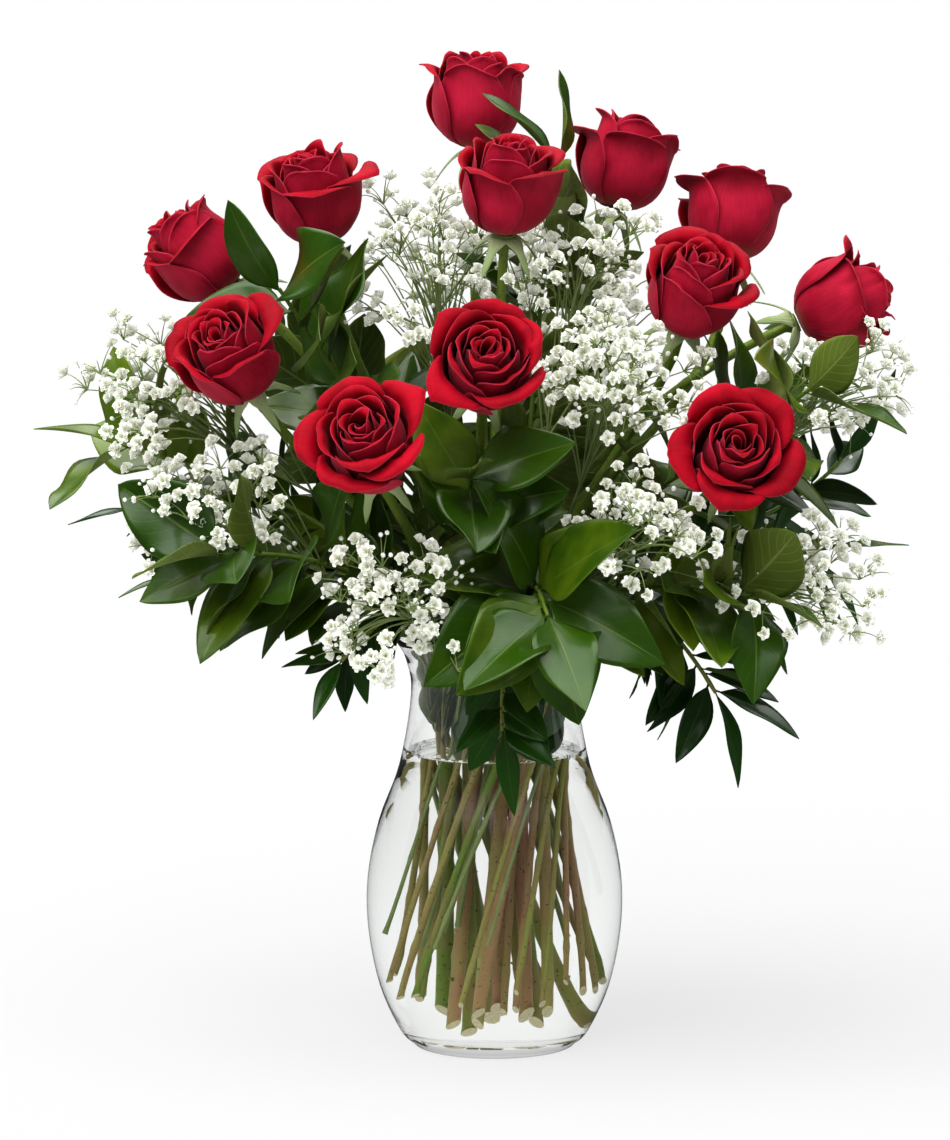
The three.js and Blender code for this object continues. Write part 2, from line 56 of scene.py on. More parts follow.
# ---------------------------------------------------------------- The camera, the light and the table
# The arrangement stands on a plain white table lit from below, in soft daylight from the upper left. The camera
# looks slightly down on it from three metres away, at the photograph's height and angle.
CAMERA_AT = Vector((-0.011, -3.0, 0.670))
CAMERA_AIM = Vector((-0.011, 0, 0.270))
VIEW_HEIGHT = 0.6384  # height of the picture where the arrangement stands
SENSOR = 36
PICTURE_GAMMA = 0.88
SUN_AT = (-0.8, -1.3, 2.9)
SUN_AIM = (0, 0, 0.3)
SUN_SPREAD = math.radians(70)  # as wide as a cloudy sky
SUN_STRENGTH = 3.9


def aimed(data, at, aim):
    """A camera or light at a point, turned towards another."""
    made = bpy.data.objects.new(data.name, data)
    made.location = at
    made.rotation_euler = (Vector(aim) - Vector(at)).to_track_quat("-Z", "Y").to_euler()
    scene.collection.objects.link(made)
    return made


lens = bpy.data.cameras.new("camera")
lens.sensor_width = SENSOR
lens.lens = SENSOR * (CAMERA_AIM - CAMERA_AT).length / VIEW_HEIGHT
lens.clip_end = 200
scene.camera = aimed(lens, CAMERA_AT, CAMERA_AIM)
scene.view_settings.view_transform = "Standard"
scene.view_settings.gamma = PICTURE_GAMMA

daylight = bpy.data.lights.new("daylight", "SUN")
daylight.angle = SUN_SPREAD
daylight.energy = SUN_STRENGTH
sun = aimed(daylight, SUN_AT, SUN_AIM)
sun.visible_glossy = False
sun.visible_transmission = False


class Field:
    """A number that changes from point to point. Python's operators on it add Math nodes to its tree."""

    def __init__(self, nodes, socket):
        self.nodes = nodes
        self.socket = socket

    def math(self, operation, *others):
        """One Math node, with this number as the first of its values."""
        made = self.nodes.add("ShaderNodeMath", {"operation": operation}, dict(enumerate((self, *others))))
        return Field(self.nodes, made.outputs[0])

    def __add__(self, other):
        return self.math("ADD", other)

    def __sub__(self, other):
        return self.math("SUBTRACT", other)

    def __rsub__(self, other):
        return self * -1 + other

    def __mul__(self, other):
        return self.math("MULTIPLY", other)

    def __abs__(self):
        return self.math("ABSOLUTE")

    __radd__ = __add__
    __rmul__ = __mul__

    def between(self, low, high):
        """0 below low, 1 above high, and a smooth step between them."""
        limits = {"Value": self, "From Min": low, "From Max": high}
        made = self.nodes.add("ShaderNodeMapRange", {"interpolation_type": "SMOOTHSTEP"}, limits)
        return Field(self.nodes, made.outputs["Result"])


class Nodes:
    """A node tree that nodes are added to. An input takes a value, a socket or a field."""

    def __init__(self, tree):
        self.tree = tree

    def add(self, kind, settings=None, inputs=None):
        """A new node, given its settings first, and then its inputs by name or by number."""
        made = self.tree.nodes.new(kind)
        for name, value in (settings or {}).items():
            setattr(made, name, value)
        for key, value in (inputs or {}).items():
            value = value.socket if isinstance(value, Field) else value
            if isinstance(value, bpy.types.NodeSocket):
                self.tree.links.new(value, made.inputs[key])
            else:
                made.inputs[key].default_value = value
        return made


# The room is white to look at, also through the glass. It throws a softer light of its own, and reflections pick up
# its dim walls and lit ceiling, though less so once they are inside the glass.
ROOM_WHITE = 1.0
LIGHT_FROM_LEFT, LIGHT_FROM_RIGHT = 0.8, 0.24
ROOM_WALLS, ROOM_CEILING = 0.08, 4.0
CEILING_EDGE = (0.4, 0.8)  # how high a reflection points to find the ceiling, as a share of straight up
DIM_IN_GLASS = 0.35  # how much of the dim walls is left inside the glass

scene.world = bpy.data.worlds.new("room")
scene.world.use_nodes = True
walls = Nodes(scene.world.node_tree)
ray = walls.add("ShaderNodeLightPath").outputs
direction = walls.add("ShaderNodeTexCoord").outputs["Generated"]
towards = walls.add("ShaderNodeSeparateXYZ", inputs={0: direction}).outputs
overhead = Field(walls, towards["Z"]).between(*CEILING_EDGE) * (ROOM_CEILING - ROOM_WALLS) + ROOM_WALLS
in_glass = Field(walls, ray["Transmission Depth"]).between(0, 1)
mirrored = Field(walls, ray["Is Reflection Ray"]) * (1 - in_glass * (1 - DIM_IN_GLASS))
looks = walls.add("ShaderNodeMix", inputs={"Factor": mirrored, "A": ROOM_WHITE, "B": overhead}).outputs[0]
to_the_right = Field(walls, towards["X"]) * 0.5 + 0.5
lights = to_the_right * (LIGHT_FROM_RIGHT - LIGHT_FROM_LEFT) + LIGHT_FROM_LEFT
strength = walls.add("ShaderNodeMix", inputs={"Factor": ray["Diffuse Depth"], "A": looks, "B": lights}).outputs[0]
background = walls.tree.nodes["Background"]
background.inputs["Color"].default_value = (1, 1, 1, 1)
walls.tree.links.new(strength, background.inputs["Strength"])


MIX_SHARE, COLOUR_A, COLOUR_B, MIXED_COLOUR = 0, 6, 7, 2  # a Mix node's sockets for colours


def colour(value):
    """A colour as the four numbers that a socket takes. A socket goes through as it is."""
    return (*value, 1) if isinstance(value, tuple) else value


class Finish(Nodes):
    """A material and the nodes that it is mixed from."""

    def __init__(self, name):
        self.material = bpy.data.materials.new(name)
        self.material.use_nodes = True
        super().__init__(self.material.node_tree)
        self.tree.nodes.clear()

    def place(self):
        """Where a point lies in the arrangement."""
        return self.add("ShaderNodeTexCoord").outputs["Object"]

    def across_and_along(self):
        """A blade's own coordinates: -1 to 1 across it, and 0 at its root to 1 at its tip."""
        split = self.add("ShaderNodeSeparateXYZ", inputs={0: self.add("ShaderNodeUVMap").outputs[0]})
        return Field(self, split.outputs["X"]) * 2 - 1, Field(self, split.outputs["Y"])

    def tone(self):
        """The draw, from 0 to 1, that each leaf or petal got when it was made."""
        return Field(self, self.add("ShaderNodeAttribute", {"attribute_name": "tone"}).outputs["Fac"])

    def noise(self, scale, detail=3, where=None, stretch=(1, 1, 1)):
        """Soft random patches, laid in the arrangement's own space unless another is given."""
        where = self.add("ShaderNodeMapping", inputs={"Vector": where or self.place(), "Scale": stretch}).outputs[0]
        made = self.add("ShaderNodeTexNoise", inputs={"Vector": where, "Scale": scale, "Detail": detail})
        return Field(self, made.outputs["Fac"])

    def mix(self, share, first, second):
        """The first colour where the share is 0, the second where it is 1, and a blend between."""
        inputs = {MIX_SHARE: share, COLOUR_A: colour(first), COLOUR_B: colour(second)}
        return self.add("ShaderNodeMix", {"data_type": "RGBA"}, inputs).outputs[MIXED_COLOUR]

    def bump(self, height, strength, distance):
        """The way the surface faces, once small rises and dips are laid over it."""
        inputs = {"Height": height, "Strength": strength, "Distance": distance}
        return self.add("ShaderNodeBump", inputs=inputs).outputs[0]

    def surface(self, **inputs):
        """The material, finished with one Principled shader."""
        named = {key.replace("_", " "): value for key, value in inputs.items()}
        return self.ended(self.add("ShaderNodeBsdfPrincipled", inputs=named))

    def ended(self, shader):
        """The material, with this shader as its surface."""
        self.add("ShaderNodeOutputMaterial", inputs={"Surface": shader.outputs[0]})
        return self.material


def shown(name, mesh, *materials):
    """An object at the origin for a finished mesh."""
    made = bpy.data.objects.new(name, mesh)
    for material in materials:
        mesh.materials.append(material)
    scene.collection.objects.link(made)
    return made


def mesh_of(name, shape, smooth=True):
    """A bmesh turned into a mesh, and freed."""
    for face in shape.faces:
        face.smooth = smooth
    mesh = bpy.data.meshes.new(name)
    shape.to_mesh(mesh)
    shape.free()
    return mesh


TABLE_REACH = 30
table_top = bmesh.new()
bmesh.ops.create_grid(table_top, x_segments=1, y_segments=1, size=TABLE_REACH)
table_white = Finish("pale_table").surface(
    Base_Color=(0.17, 0.17, 0.173, 1),
    Roughness=0.9,
    Specular_IOR_Level=0,
    Emission_Color=(1, 1, 1, 1),
    Emission_Strength=0.73,
)
table = shown("table", mesh_of("table", table_top), table_white)
table.visible_glossy = False


# ---------------------------------------------------------------- The vase
# A blown and pressed gathering vase of clear soda glass: a thick foot, a round belly, a narrow neck and a flared
# rim with a fire-polished edge. Its outline is turned round the axis as one closed wall.
WALL = 0.003
FLOOR = 0.007
NECK_Z = 0.200
RIM_Z = 0.232
VASE_OUTLINE = [
    (0.0460, 0), (0.0536, 0.009), (0.0648, 0.034), (0.0712, 0.066), (0.0715, 0.096), (0.0652, 0.128),
    (0.0536, 0.160), (0.0469, NECK_Z), (0.0498, 0.220), (0.0560, RIM_Z),
]
GLASS_STEPS = 96  # round the axis
OUTLINE_STEPS = 5  # between two points of the outline
WATER_LEVEL = 0.167
WET_TOP = WATER_LEVEL + 0.0024  # the water climbs the glass at its edge
GLASS_IOR = 1.47
WATER_IOR = 1.33


def smooth_line(points, steps):
    """Points along a smooth curve through the given ones, so many from each to the next."""
    ends = [Vector(points[0]) * 2 - Vector(points[1]), Vector(points[-1]) * 2 - Vector(points[-2])]
    guides = [ends[0], *map(Vector, points), ends[1]]
    line = []
    for before, start, end, after in zip(guides, guides[1:], guides[2:], guides[3:]):
        for k in range(steps):
            t = k / steps
            bend = (2 * before - 5 * start + 4 * end - after) * t * t
            sway = (3 * start - before - 3 * end + after) * t ** 3
            line.append(0.5 * (2 * start + (end - before) * t + bend + sway))
    return [*line, guides[-2]]


def turned(profile, steps):
    """A closed body turned round the Z axis from a profile that starts and ends on it."""
    shape = bmesh.new()
    points = [shape.verts.new((radius, 0, height)) for radius, height in profile]
    edges = [shape.edges.new(pair) for pair in zip(points, points[1:])]
    bmesh.ops.spin(
        shape, geom=points + edges, axis=(0, 0, 1), cent=(0, 0, 0), angle=2 * math.pi, steps=steps, use_merge=True
    )
    bmesh.ops.remove_doubles(shape, verts=shape.verts, dist=1e-5)
    bmesh.ops.recalc_face_normals(shape, faces=shape.faces)
    return shape


def wall_at(height):
    """The outer radius of the vase at a height."""
    heights = [z for _, z in VASE_OUTLINE]
    return float(np.interp(height, heights, [radius for radius, _ in VASE_OUTLINE]))


# From the middle of the underside, up the outside, over the lip, and down the inside to the middle of the floor.
heel = [(0, 0), (0.0340, 0), (0.0425, 0), (0.0452, 0.0006)]
outside = smooth_line([(0.0468, 0.0022), *VASE_OUTLINE[1:-1], (0.0556, RIM_Z - 0.0012)], OUTLINE_STEPS)
lip = [(0.0556, RIM_Z - 0.0003), (0.0548, RIM_Z), (0.0537, RIM_Z - 0.0001), (0.0529, RIM_Z - 0.0010)]
inside = smooth_line([(radius - WALL, height) for radius, height in VASE_OUTLINE[-2:1:-1]], OUTLINE_STEPS)
radii, heights = zip(*inside[::-1])
edge, edge_top = np.interp((WATER_LEVEL, WET_TOP), heights, radii)
inside = sorted([*inside, Vector((edge_top, WET_TOP))], key=lambda point: -point.y)
well_guides = [inside[-1], (0.0545, 0.0150), (0.0470, 0.0088), (0.0360, FLOOR), (0.0180, FLOOR + 0.0003)]
well = smooth_line(well_guides, OUTLINE_STEPS - 1)[1:]
vase_shape = turned([*heel, *outside, *lip, *inside, *well, (0, FLOOR + 0.0004)], GLASS_STEPS)


def faces_out(face):
    """Whether a face of a turned body faces away from the axis."""
    middle = face.calc_center_median()
    return face.normal.x * middle.x + face.normal.y * middle.y > 0


WET, UNDERSIDE = 1, 2  # the rest of the glass is dry
for face in vase_shape.faces:
    height = face.calc_center_median().z
    is_inner = not faces_out(face) or face.normal.z > 0.7
    is_hub = len(face.verts) == 3  # only the faces that meet the axis have three corners
    if is_inner and FLOOR / 2 < height < WET_TOP:
        face.material_index = WET
    elif is_hub and face.normal.z < -0.99:
        face.material_index = UNDERSIDE


def clear(name, tint, ior):
    """Clear glass, water or air, which lets light through to the stems behind it."""
    finish = Finish(name)
    ripple = finish.bump(finish.noise(38, detail=1), strength=0.12, distance=0.0006)
    inputs = {"Base Color": (*tint, 1), "Roughness": 0.01, "IOR": ior, "Normal": ripple, "Transmission Weight": 1}
    body = finish.add("ShaderNodeBsdfPrincipled", inputs=inputs).outputs[0]
    passing = finish.add("ShaderNodeBsdfTransparent", inputs={"Color": (*tint, 1)}).outputs[0]
    is_shadow = finish.add("ShaderNodeLightPath").outputs["Is Shadow Ray"]
    return finish.ended(finish.add("ShaderNodeMixShader", inputs={0: is_shadow, 1: body, 2: passing}))


def unbending(name):
    """A face that light passes straight through."""
    finish = Finish(name)
    return finish.ended(finish.add("ShaderNodeBsdfTransparent"))


def dressed(piece, node=None):
    """Joins a piece to the arrangement, and puts it in the place of its CAD node if it has one."""
    if node:
        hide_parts(node)
    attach(piece, "root")


# Light bends much less where the glass is wet than where it meets the air. The table shows through the underside.
dry_glass = clear("clear_glass", (0.975, 0.985, 0.975), GLASS_IOR)
wet_glass = clear("wet_glass", (0.985, 0.99, 0.985), GLASS_IOR / WATER_IOR)
vase = shown("vase_glass", mesh_of("vase_glass", vase_shape), dry_glass, wet_glass, unbending("glass_underside"))
dressed(vase, node="vase")


# ---------------------------------------------------------------- The water
# The vase holds water to just under its neck. It touches the glass all round, where the wet glass bends the light
# for both, and it climbs the glass a little at its edge.
WATER_GAP = 0.0001
WATER_SURFACE, WATER_SIDE = 0, 1

wet_wall = [(radius - WATER_GAP, height) for radius, height in [*well[::-1], *inside[::-1]]]
wet_wall = [point for point in wet_wall if point[1] < WATER_LEVEL - 0.004]
skin = [
    (edge_top - WATER_GAP, WET_TOP),
    (edge - 0.0012, WATER_LEVEL + 0.0013),
    (edge - 0.0024, WATER_LEVEL + 0.0005),
    (edge - 0.0048, WATER_LEVEL),
]
water_shape = turned([(0, FLOOR + 0.0006), *wet_wall, *skin, (0, WATER_LEVEL)], GLASS_STEPS)
for face in water_shape.faces:
    face.material_index = WATER_SIDE if faces_out(face) or face.normal.z < 0 else WATER_SURFACE
water_skin = clear("clear_water", (0.995, 0.995, 0.985), WATER_IOR)
water = shown("vase_water", mesh_of("vase_water", water_shape), water_skin, unbending("water_side"))
dressed(water, node="water")

# A few air bubbles cling along the water's edge, of mixed sizes and at mixed distances from the glass.
BUBBLES = 46
BUBBLE_TURN = 2.39996  # from each bubble to the next, so that none stand in line
BUBBLE_IOR = 1.2
foam = bmesh.new()
for k in range(BUBBLES):
    turn = BUBBLE_TURN * k
    size = 0.0005 + 0.0007 * abs(math.sin(7.3 * k))
    reach = edge - 0.0022 - 0.0035 * abs(math.sin(3.1 * k)) ** 3
    middle = Matrix.Translation((reach * math.cos(turn), reach * math.sin(turn), WATER_LEVEL + 0.0004))
    bmesh.ops.create_icosphere(foam, subdivisions=2, radius=size, matrix=middle)
bubbles = shown("water_bubbles", mesh_of("bubbles", foam), clear("bubble_film", (1, 1, 1), BUBBLE_IOR))
dressed(bubbles)


# ---------------------------------------------------------------- How the stems stand
# The stems are laid as a spiral bouquet: they share three rings round a middle one, all lean the same way round,
# and above the neck each bends to its own head. Every leaf and floret finds its own free room, in a fixed order.
BLOOM_HEIGHT = 0.058
BLOOM_SEAT = 0.48  # share of a bloom's height that lies below its middle
HIP_LENGTH = 0.009
RINGS = {  # the radius at which each ring passes the neck, and the radius of its feet
    "outer": (0.0345, 0.046),
    "middle": (0.0235, 0.032),
    "inner": (0.0125, 0.0175),
    "centre": (0, 0.002),
}
SPIRAL_TURN = math.radians(-78)  # from where a stem passes the neck to its foot
SPIRAL_LEAD = math.radians(-22)  # from the bearing of a stem's head to where it passes the neck
STEM_BALLS = 60  # balls that stand for a stem above the neck
ARCH_SHARE = 0.42  # how far a stem goes straight on before it bends, as a share of the way to its head
ARCH_LEAST = 0.062
ARCH_LOW = 0.300  # heads below this height take a higher arch over the rim
ARCH_TRIES = 8
HEAD_SHARE = 0.36  # how far before its head a stem points the way its head does, as such a share
ROOM_FOR = 60000  # balls
# Each rose: the middle of its bloom, the way it faces, how far it has opened, its turn round its axis, and its ring.
ROSES = [
    ((-0.011, 0.050, 0.531), (0.02, -0.08, 1), 0.3, 3.1, "centre"),
    ((0.007, -0.052, 0.489), (0.06, -0.28, 1), 0.4, 0.4, "inner"),
    ((-0.100, 0, 0.480), (-0.16, -0.3, 1), 0.55, 2.2, "inner"),
    ((-0.167, 0.012, 0.447), (-0.85, -0.15, 0.75), 0.35, 1.1, "outer"),
    ((-0.144, -0.088, 0.399), (-0.4, -0.75, 0.75), 0.55, 2.7, "middle"),
    ((0.074, 0.062, 0.495), (0.25, 0.2, 1), 0.5, 0.9, "inner"),
    ((0.133, 0.050, 0.467), (0.05, 0.35, 1), 0.4, 3.4, "inner"),
    ((0.109, -0.062, 0.434), (0.22, -0.62, 0.85), 0.45, 1.7, "inner"),
    ((0.194, 0, 0.421), (0.95, -0.1, 0.45), 0.35, 0.2, "middle"),
    ((-0.005, -0.128, 0.398), (0.03, -0.86, 0.5), 0.6, 1.3, "inner"),
    ((-0.068, -0.148, 0.357), (-0.18, -0.8, 0.6), 0.7, -0.8, "middle"),
    ((0.127, -0.120, 0.348), (0.12, -0.88, 0.45), 0.75, 3.2, "middle"),
]
# Each leafy stem: its tip, the way the tip points, the length of its longest leaves, and its ring.
BROAD_GREENS = [
    ((-0.118, -0.052, 0.432), (-0.5, -0.3, 0.8), 0.066, "middle"),
    ((-0.205, -0.040, 0.345), (-0.9, -0.2, 0.3), 0.062, "outer"),
    ((-0.150, -0.105, 0.292), (-0.8, -0.6, 0), 0.066, "outer"),
    ((0.028, -0.128, 0.262), (0.2, -0.8, -0.5), 0.070, "outer"),
    ((-0.014, -0.112, 0.335), (0, -0.8, 0.5), 0.060, "middle"),
    ((0.172, -0.062, 0.378), (0.7, -0.4, 0.6), 0.068, "middle"),
    ((0.140, -0.096, 0.268), (0.7, -0.6, -0.1), 0.060, "outer"),
    ((0.036, 0.004, 0.500), (0.15, 0, 1), 0.060, "inner"),
    ((-0.120, 0.115, 0.385), (-0.5, 0.6, 0.6), 0.066, "outer"),
    ((0.040, 0.150, 0.335), (0.2, 0.8, 0.4), 0.068, "outer"),
]
SLENDER_GREENS = [
    ((-0.188, 0.004, 0.306), (-0.9, 0, -0.25), 0.066, "outer"),
    ((-0.176, 0.030, 0.264), (-1, 0.1, -0.1), 0.042, "outer"),
    ((-0.084, -0.092, 0.232), (-0.6, -0.6, -0.6), 0.042, "outer"),
    ((0.004, -0.104, 0.196), (0.1, -0.5, -1), 0.052, "outer"),
    ((0.122, -0.048, 0.208), (0.5, -0.3, -0.8), 0.062, "outer"),
    ((0.176, -0.030, 0.284), (1, -0.1, 0.1), 0.068, "outer"),
    ((0.196, 0.026, 0.330), (0.6, 0.1, 0.7), 0.064, "outer"),
    ((0.150, 0.120, 0.280), (0.7, 0.6, 0), 0.064, "outer"),
    ((-0.130, 0.110, 0.262), (-0.7, 0.6, -0.1), 0.060, "outer"),
]
# Each spray of gypsophila: the middle of its cloud, the cloud's radius, and its ring.
SPRAYS = [
    ((-0.186, -0.050, 0.372), 0.046, "middle"),
    ((-0.158, -0.070, 0.308), 0.044, "outer"),
    ((-0.036, -0.010, 0.440), 0.050, "inner"),
    ((0.048, -0.020, 0.436), 0.052, "inner"),
    ((0.066, -0.088, 0.382), 0.046, "middle"),
    ((0.080, -0.112, 0.300), 0.048, "middle"),
    ((-0.052, -0.120, 0.262), 0.048, "outer"),
    ((0.190, -0.048, 0.372), 0.036, "outer"),
    ((0.165, -0.084, 0.268), 0.042, "outer"),
    ((0.020, 0.118, 0.415), 0.058, "middle"),
]


def seeded(seed):
    """Evenly spread chance draws, the same at every run."""
    state = seed * 104729

    def draw(low, high):
        nonlocal state
        state = state * 16807 % 2147483647
        return low + (high - low) * state / 2147483647

    return draw


def across_to(along):
    """Two directions across a given one. The first lies as near the X axis as it can."""
    side = (Vector((1, 0, 0)) - along * along.x).normalized()
    return side, along.cross(side)


class Stem:
    """One stem: where it stands in the vase, and the curve from the vase's neck to its head."""

    def __init__(self, name, index, head, points, ring, radius, depth):
        self.name, self.index, self.ring = name, index, ring
        self.head, self.points = Vector(head), Vector(points).normalized()
        self.radius, self.depth = radius, depth
        self.leaves = []
        self.florets = []

    def stand(self, turn, foot_z):
        """Puts the stem through the neck at this turn, with its foot at this height."""
        neck, foot = RINGS[self.ring]
        self.neck = Vector((neck * math.cos(turn), neck * math.sin(turn), NECK_Z))
        turn += SPIRAL_TURN
        self.foot = Vector((foot * math.cos(turn), foot * math.sin(turn), foot_z))
        self.leans = (self.neck - self.foot).normalized()

    def bend(self, arch):
        """Bends the stem to its head along a Bezier curve that first goes straight on."""
        reach = (self.head - self.neck).length
        least = max(ARCH_SHARE * reach, ARCH_LEAST + 0.5 * max(0, ARCH_LOW - self.head.z))
        past_neck = self.neck + self.leans * least * arch
        before_head = self.head - self.points * HEAD_SHARE * reach
        self.curve = [self.neck, past_neck, before_head, self.head]

    def at(self, share):
        """A point on the stem: 0 at the neck and 1 at the head. Below the neck the stem runs straight."""
        a, b, c, d = self.curve
        if share < 0:
            return a + (b - a) * 3 * share
        left = 1 - share
        return a * left ** 3 + b * 3 * left * left * share + c * 3 * left * share * share + d * share ** 3

    def along(self, share):
        """The direction in which the stem runs at a point of its curve."""
        a, b, c, d = self.curve
        share = max(0, share)
        left = 1 - share
        return ((b - a) * left * left + (c - b) * 2 * left * share + (d - c) * share * share).normalized()

    def balls(self):
        """Balls that stand for the stem above the neck, each a point and a radius."""
        return [(self.at(k / STEM_BALLS), self.radius + 0.0008) for k in range(STEM_BALLS + 1)]


class Room:
    """Balls stand for what is already placed. A new leaf or floret goes only where its own balls are clear."""

    def __init__(self):
        self.count = 0
        self.at = np.zeros((ROOM_FOR, 3))
        self.radius = np.zeros(ROOM_FOR)
        self.owner = np.zeros(ROOM_FOR, int)
        self.owners = {}

    def take(self, owner, balls):
        """Sets balls aside for the stem that owns them."""
        end = self.count + len(balls)
        self.at[self.count:end] = [at for at, _ in balls]
        self.radius[self.count:end] = [radius for _, radius in balls]
        self.owner[self.count:end] = self.owners.setdefault(owner, len(self.owners))
        self.count = end

    def is_clear(self, owner, balls):
        """Whether balls are clear of the glass, of the arrangement's bounds and of every other owner's balls."""
        others = self.owner[:self.count] != self.owners.get(owner, -1)
        at, radius = self.at[:self.count][others], self.radius[:self.count][others]
        for centre, size in balls:
            out = math.hypot(centre.x, centre.y)
            wall = wall_at(min(centre.z, RIM_Z - 0.001))
            if not (centre.z > RIM_Z + size or out > wall + size or out < wall - WALL - size):
                return False
        centres = np.array([centre for centre, _ in balls])
        if (centres < cad_box[0]).any() or (centres > cad_box[1]).any():
            return False
        sizes = np.array([size for _, size in balls])
        gaps = np.linalg.norm(at[None] - centres[:, None], axis=2) - radius[None] - sizes[:, None]
        return bool((gaps >= 0).all())


def bloom_frame(middle, faces):
    """A bloom's base, its axis, and place(out, turn, up), a point round that axis."""
    axis = Vector(faces).normalized()
    base = Vector(middle) - axis * BLOOM_SEAT * BLOOM_HEIGHT
    side, over = across_to(axis)

    def place(out, turn, up):
        return base + side * out * math.cos(turn) + over * out * math.sin(turn) + axis * up

    return base, axis, place


def numbered(kind, index):
    """A name with its number, counted from 01."""
    return f"{kind}_{index + 1:02d}"


# Each kind of stem with its radius and the height of its lowest foot.
rose_stems, broad_greens, slender_greens, sprays = [], [], [], []
for index, (middle, faces, _, _, ring) in enumerate(ROSES):
    base, axis, _ = bloom_frame(middle, faces)
    hip_foot = base - axis * HIP_LENGTH
    rose_stems.append(Stem(numbered("rose_stem", index), index, hip_foot, axis, ring, 0.0031, 0.014))
for index, (tip, points, _, ring) in enumerate(BROAD_GREENS):
    broad_greens.append(Stem(numbered("broad_green", index), index, tip, points, ring, 0.0022, 0.024))
for index, (tip, points, _, ring) in enumerate(SLENDER_GREENS):
    slender_greens.append(Stem(numbered("slender_green", index), index, tip, points, ring, 0.0018, 0.030))
for index, (middle, _, ring) in enumerate(SPRAYS):
    points = Vector(middle) - Vector((0, 0, NECK_Z))
    sprays.append(Stem(numbered("gypsophila", index), index, middle, points, ring, 0.0016, 0.060))
stems = [*rose_stems, *broad_greens, *slender_greens, *sprays]

# Each ring's stems are spaced evenly, in the order of their heads' bearings.
random = seeded(7)
for ring in RINGS:
    bearing = {stem: math.atan2(stem.head.y, stem.head.x) for stem in stems if stem.ring == ring}
    members = sorted(bearing, key=bearing.get)
    step = 2 * math.pi / len(members)
    drift = sum(bearing[stem] - k * step for k, stem in enumerate(members)) / len(members)
    for k, stem in enumerate(members):
        stem.stand(drift + SPIRAL_LEAD + k * step, stem.depth + random(0, 0.014))

# The blooms take their room first, each as balls up its axis, given by height and radius. Each stem then arches
# higher until it is clear of them.
BLOOM_SWELL = ((-0.006, 0.017), (0.013, 0.023), (0.031, 0.029), (0.047, 0.030))
room = Room()
for stem, (middle, faces, *_) in zip(rose_stems, ROSES):
    place = bloom_frame(middle, faces)[2]
    room.take(stem.name, [(place(0, 0, up), radius) for up, radius in BLOOM_SWELL])
for stem in stems:
    for attempt in range(ARCH_TRIES):
        stem.bend(1 + 0.15 * attempt)
        if room.is_clear(stem.name, stem.balls()):
            break
    room.take(stem.name, stem.balls())

PETIOLE = 0.1  # share of a leaf's length that is its stalk
STALK_WIDTH = 0.06
LEAF_FOLD = 0.22  # how steeply the halves of a leaf rise from its midrib


def leaf_outline(v):
    """Half a leaf's width along its length, as a share of its widest: a narrow stalk, then a pointed oval."""
    share = max(0, (v - PETIOLE) / (1 - PETIOLE))
    stalk = STALK_WIDTH if v < 1 else 0
    return max(stalk, max(0, math.sin(math.pi * share ** 0.8)) ** 0.8 * (1 - 0.25 * share))


class Leaf:
    """One leaf: its root, its size, and its surface. Its upper face looks up and away from the vase."""

    def __init__(self, root, along, length, width, droop):
        outwards = Vector((root.x, root.y, 0)).normalized() + Vector((0, 0, 0.8))
        self.face = (outwards - along * outwards.dot(along)).normalized()
        self.across = along.cross(self.face)
        self.root, self.along, self.length, self.width = root, along, length, width
        self.droop, self.wave, self.twist = droop, 0, 0

    def at(self, u, v):
        """A point of the leaf, u from -1 to 1 across it and v from 0 at its root to 1 at its tip."""
        half = self.width / 2 * leaf_outline(v)
        rise = (LEAF_FOLD * abs(u) + self.wave * u * u * math.sin(9 * v + (2 if u > 0 else 0))) * half
        turn = self.twist * v
        across = self.across * math.cos(turn) + self.face * math.sin(turn)
        face = self.face * math.cos(turn) - self.across * math.sin(turn)
        middle = self.root + self.along * self.length * v - self.face * self.droop * self.length * v * v
        return middle + across * u * half + face * rise

    def balls(self, radius):
        """Balls that stand for the leaf, spread over its blade."""
        rows, columns = (0.2, 0.35, 0.5, 0.65, 0.8, 0.9, 1), (-0.85, -0.3, 0.3, 0.85)
        return [(self.at(u, v), radius) for v in rows for u in columns]


def grow_leaves(stem, longest, habit, first=0.4, last=0.985, last_upright=True):
    """Leaves evenly spaced up a stem. Each is turned on from the last, and further and shorter until it is clear."""
    random = seeded(habit["seed"] + stem.index)
    start = random(0, 2 * math.pi)
    count = habit["count"]
    for k in range(count):
        is_last = last_upright and k == count - 1
        share = first + (last - first) * k / (count - 1)
        tangent = stem.along(share)
        side, over = across_to(tangent)
        size = longest * random(0.8, 1)
        droop = random(0.08, 0.26)
        lean = 0.15 if is_last else random(*habit["lean"])
        for attempt in range(habit["tries"]):
            turn = start + k * habit["turn"] + attempt * 0.9
            length = size * (1 - 0.05 * attempt)
            outwards = side * math.cos(turn) + over * math.sin(turn)
            along = tangent * math.cos(lean) + outwards * math.sin(lean)
            leaf = Leaf(stem.at(share), along, length, length * habit["slim"], droop)
            balls = leaf.balls(habit["ball"])
            if room.is_clear(stem.name, balls):
                room.take(stem.name, balls)
                stem.leaves.append(leaf)
                break


GOLDEN_TURN = 2.4  # from each leaf or floret to the next, so that they stand well apart all round
FLORETS, FLORET_TRIES = 7, 5  # the first and largest florets of a spray
FLORET_RADIUS = 0.0048


def round_about(turn, level):
    """A direction at a turn round the Z axis, level 1 straight up and 0 level."""
    flat = math.sqrt(1 - level * level)
    return Vector((flat * math.cos(turn), flat * math.sin(turn), level))


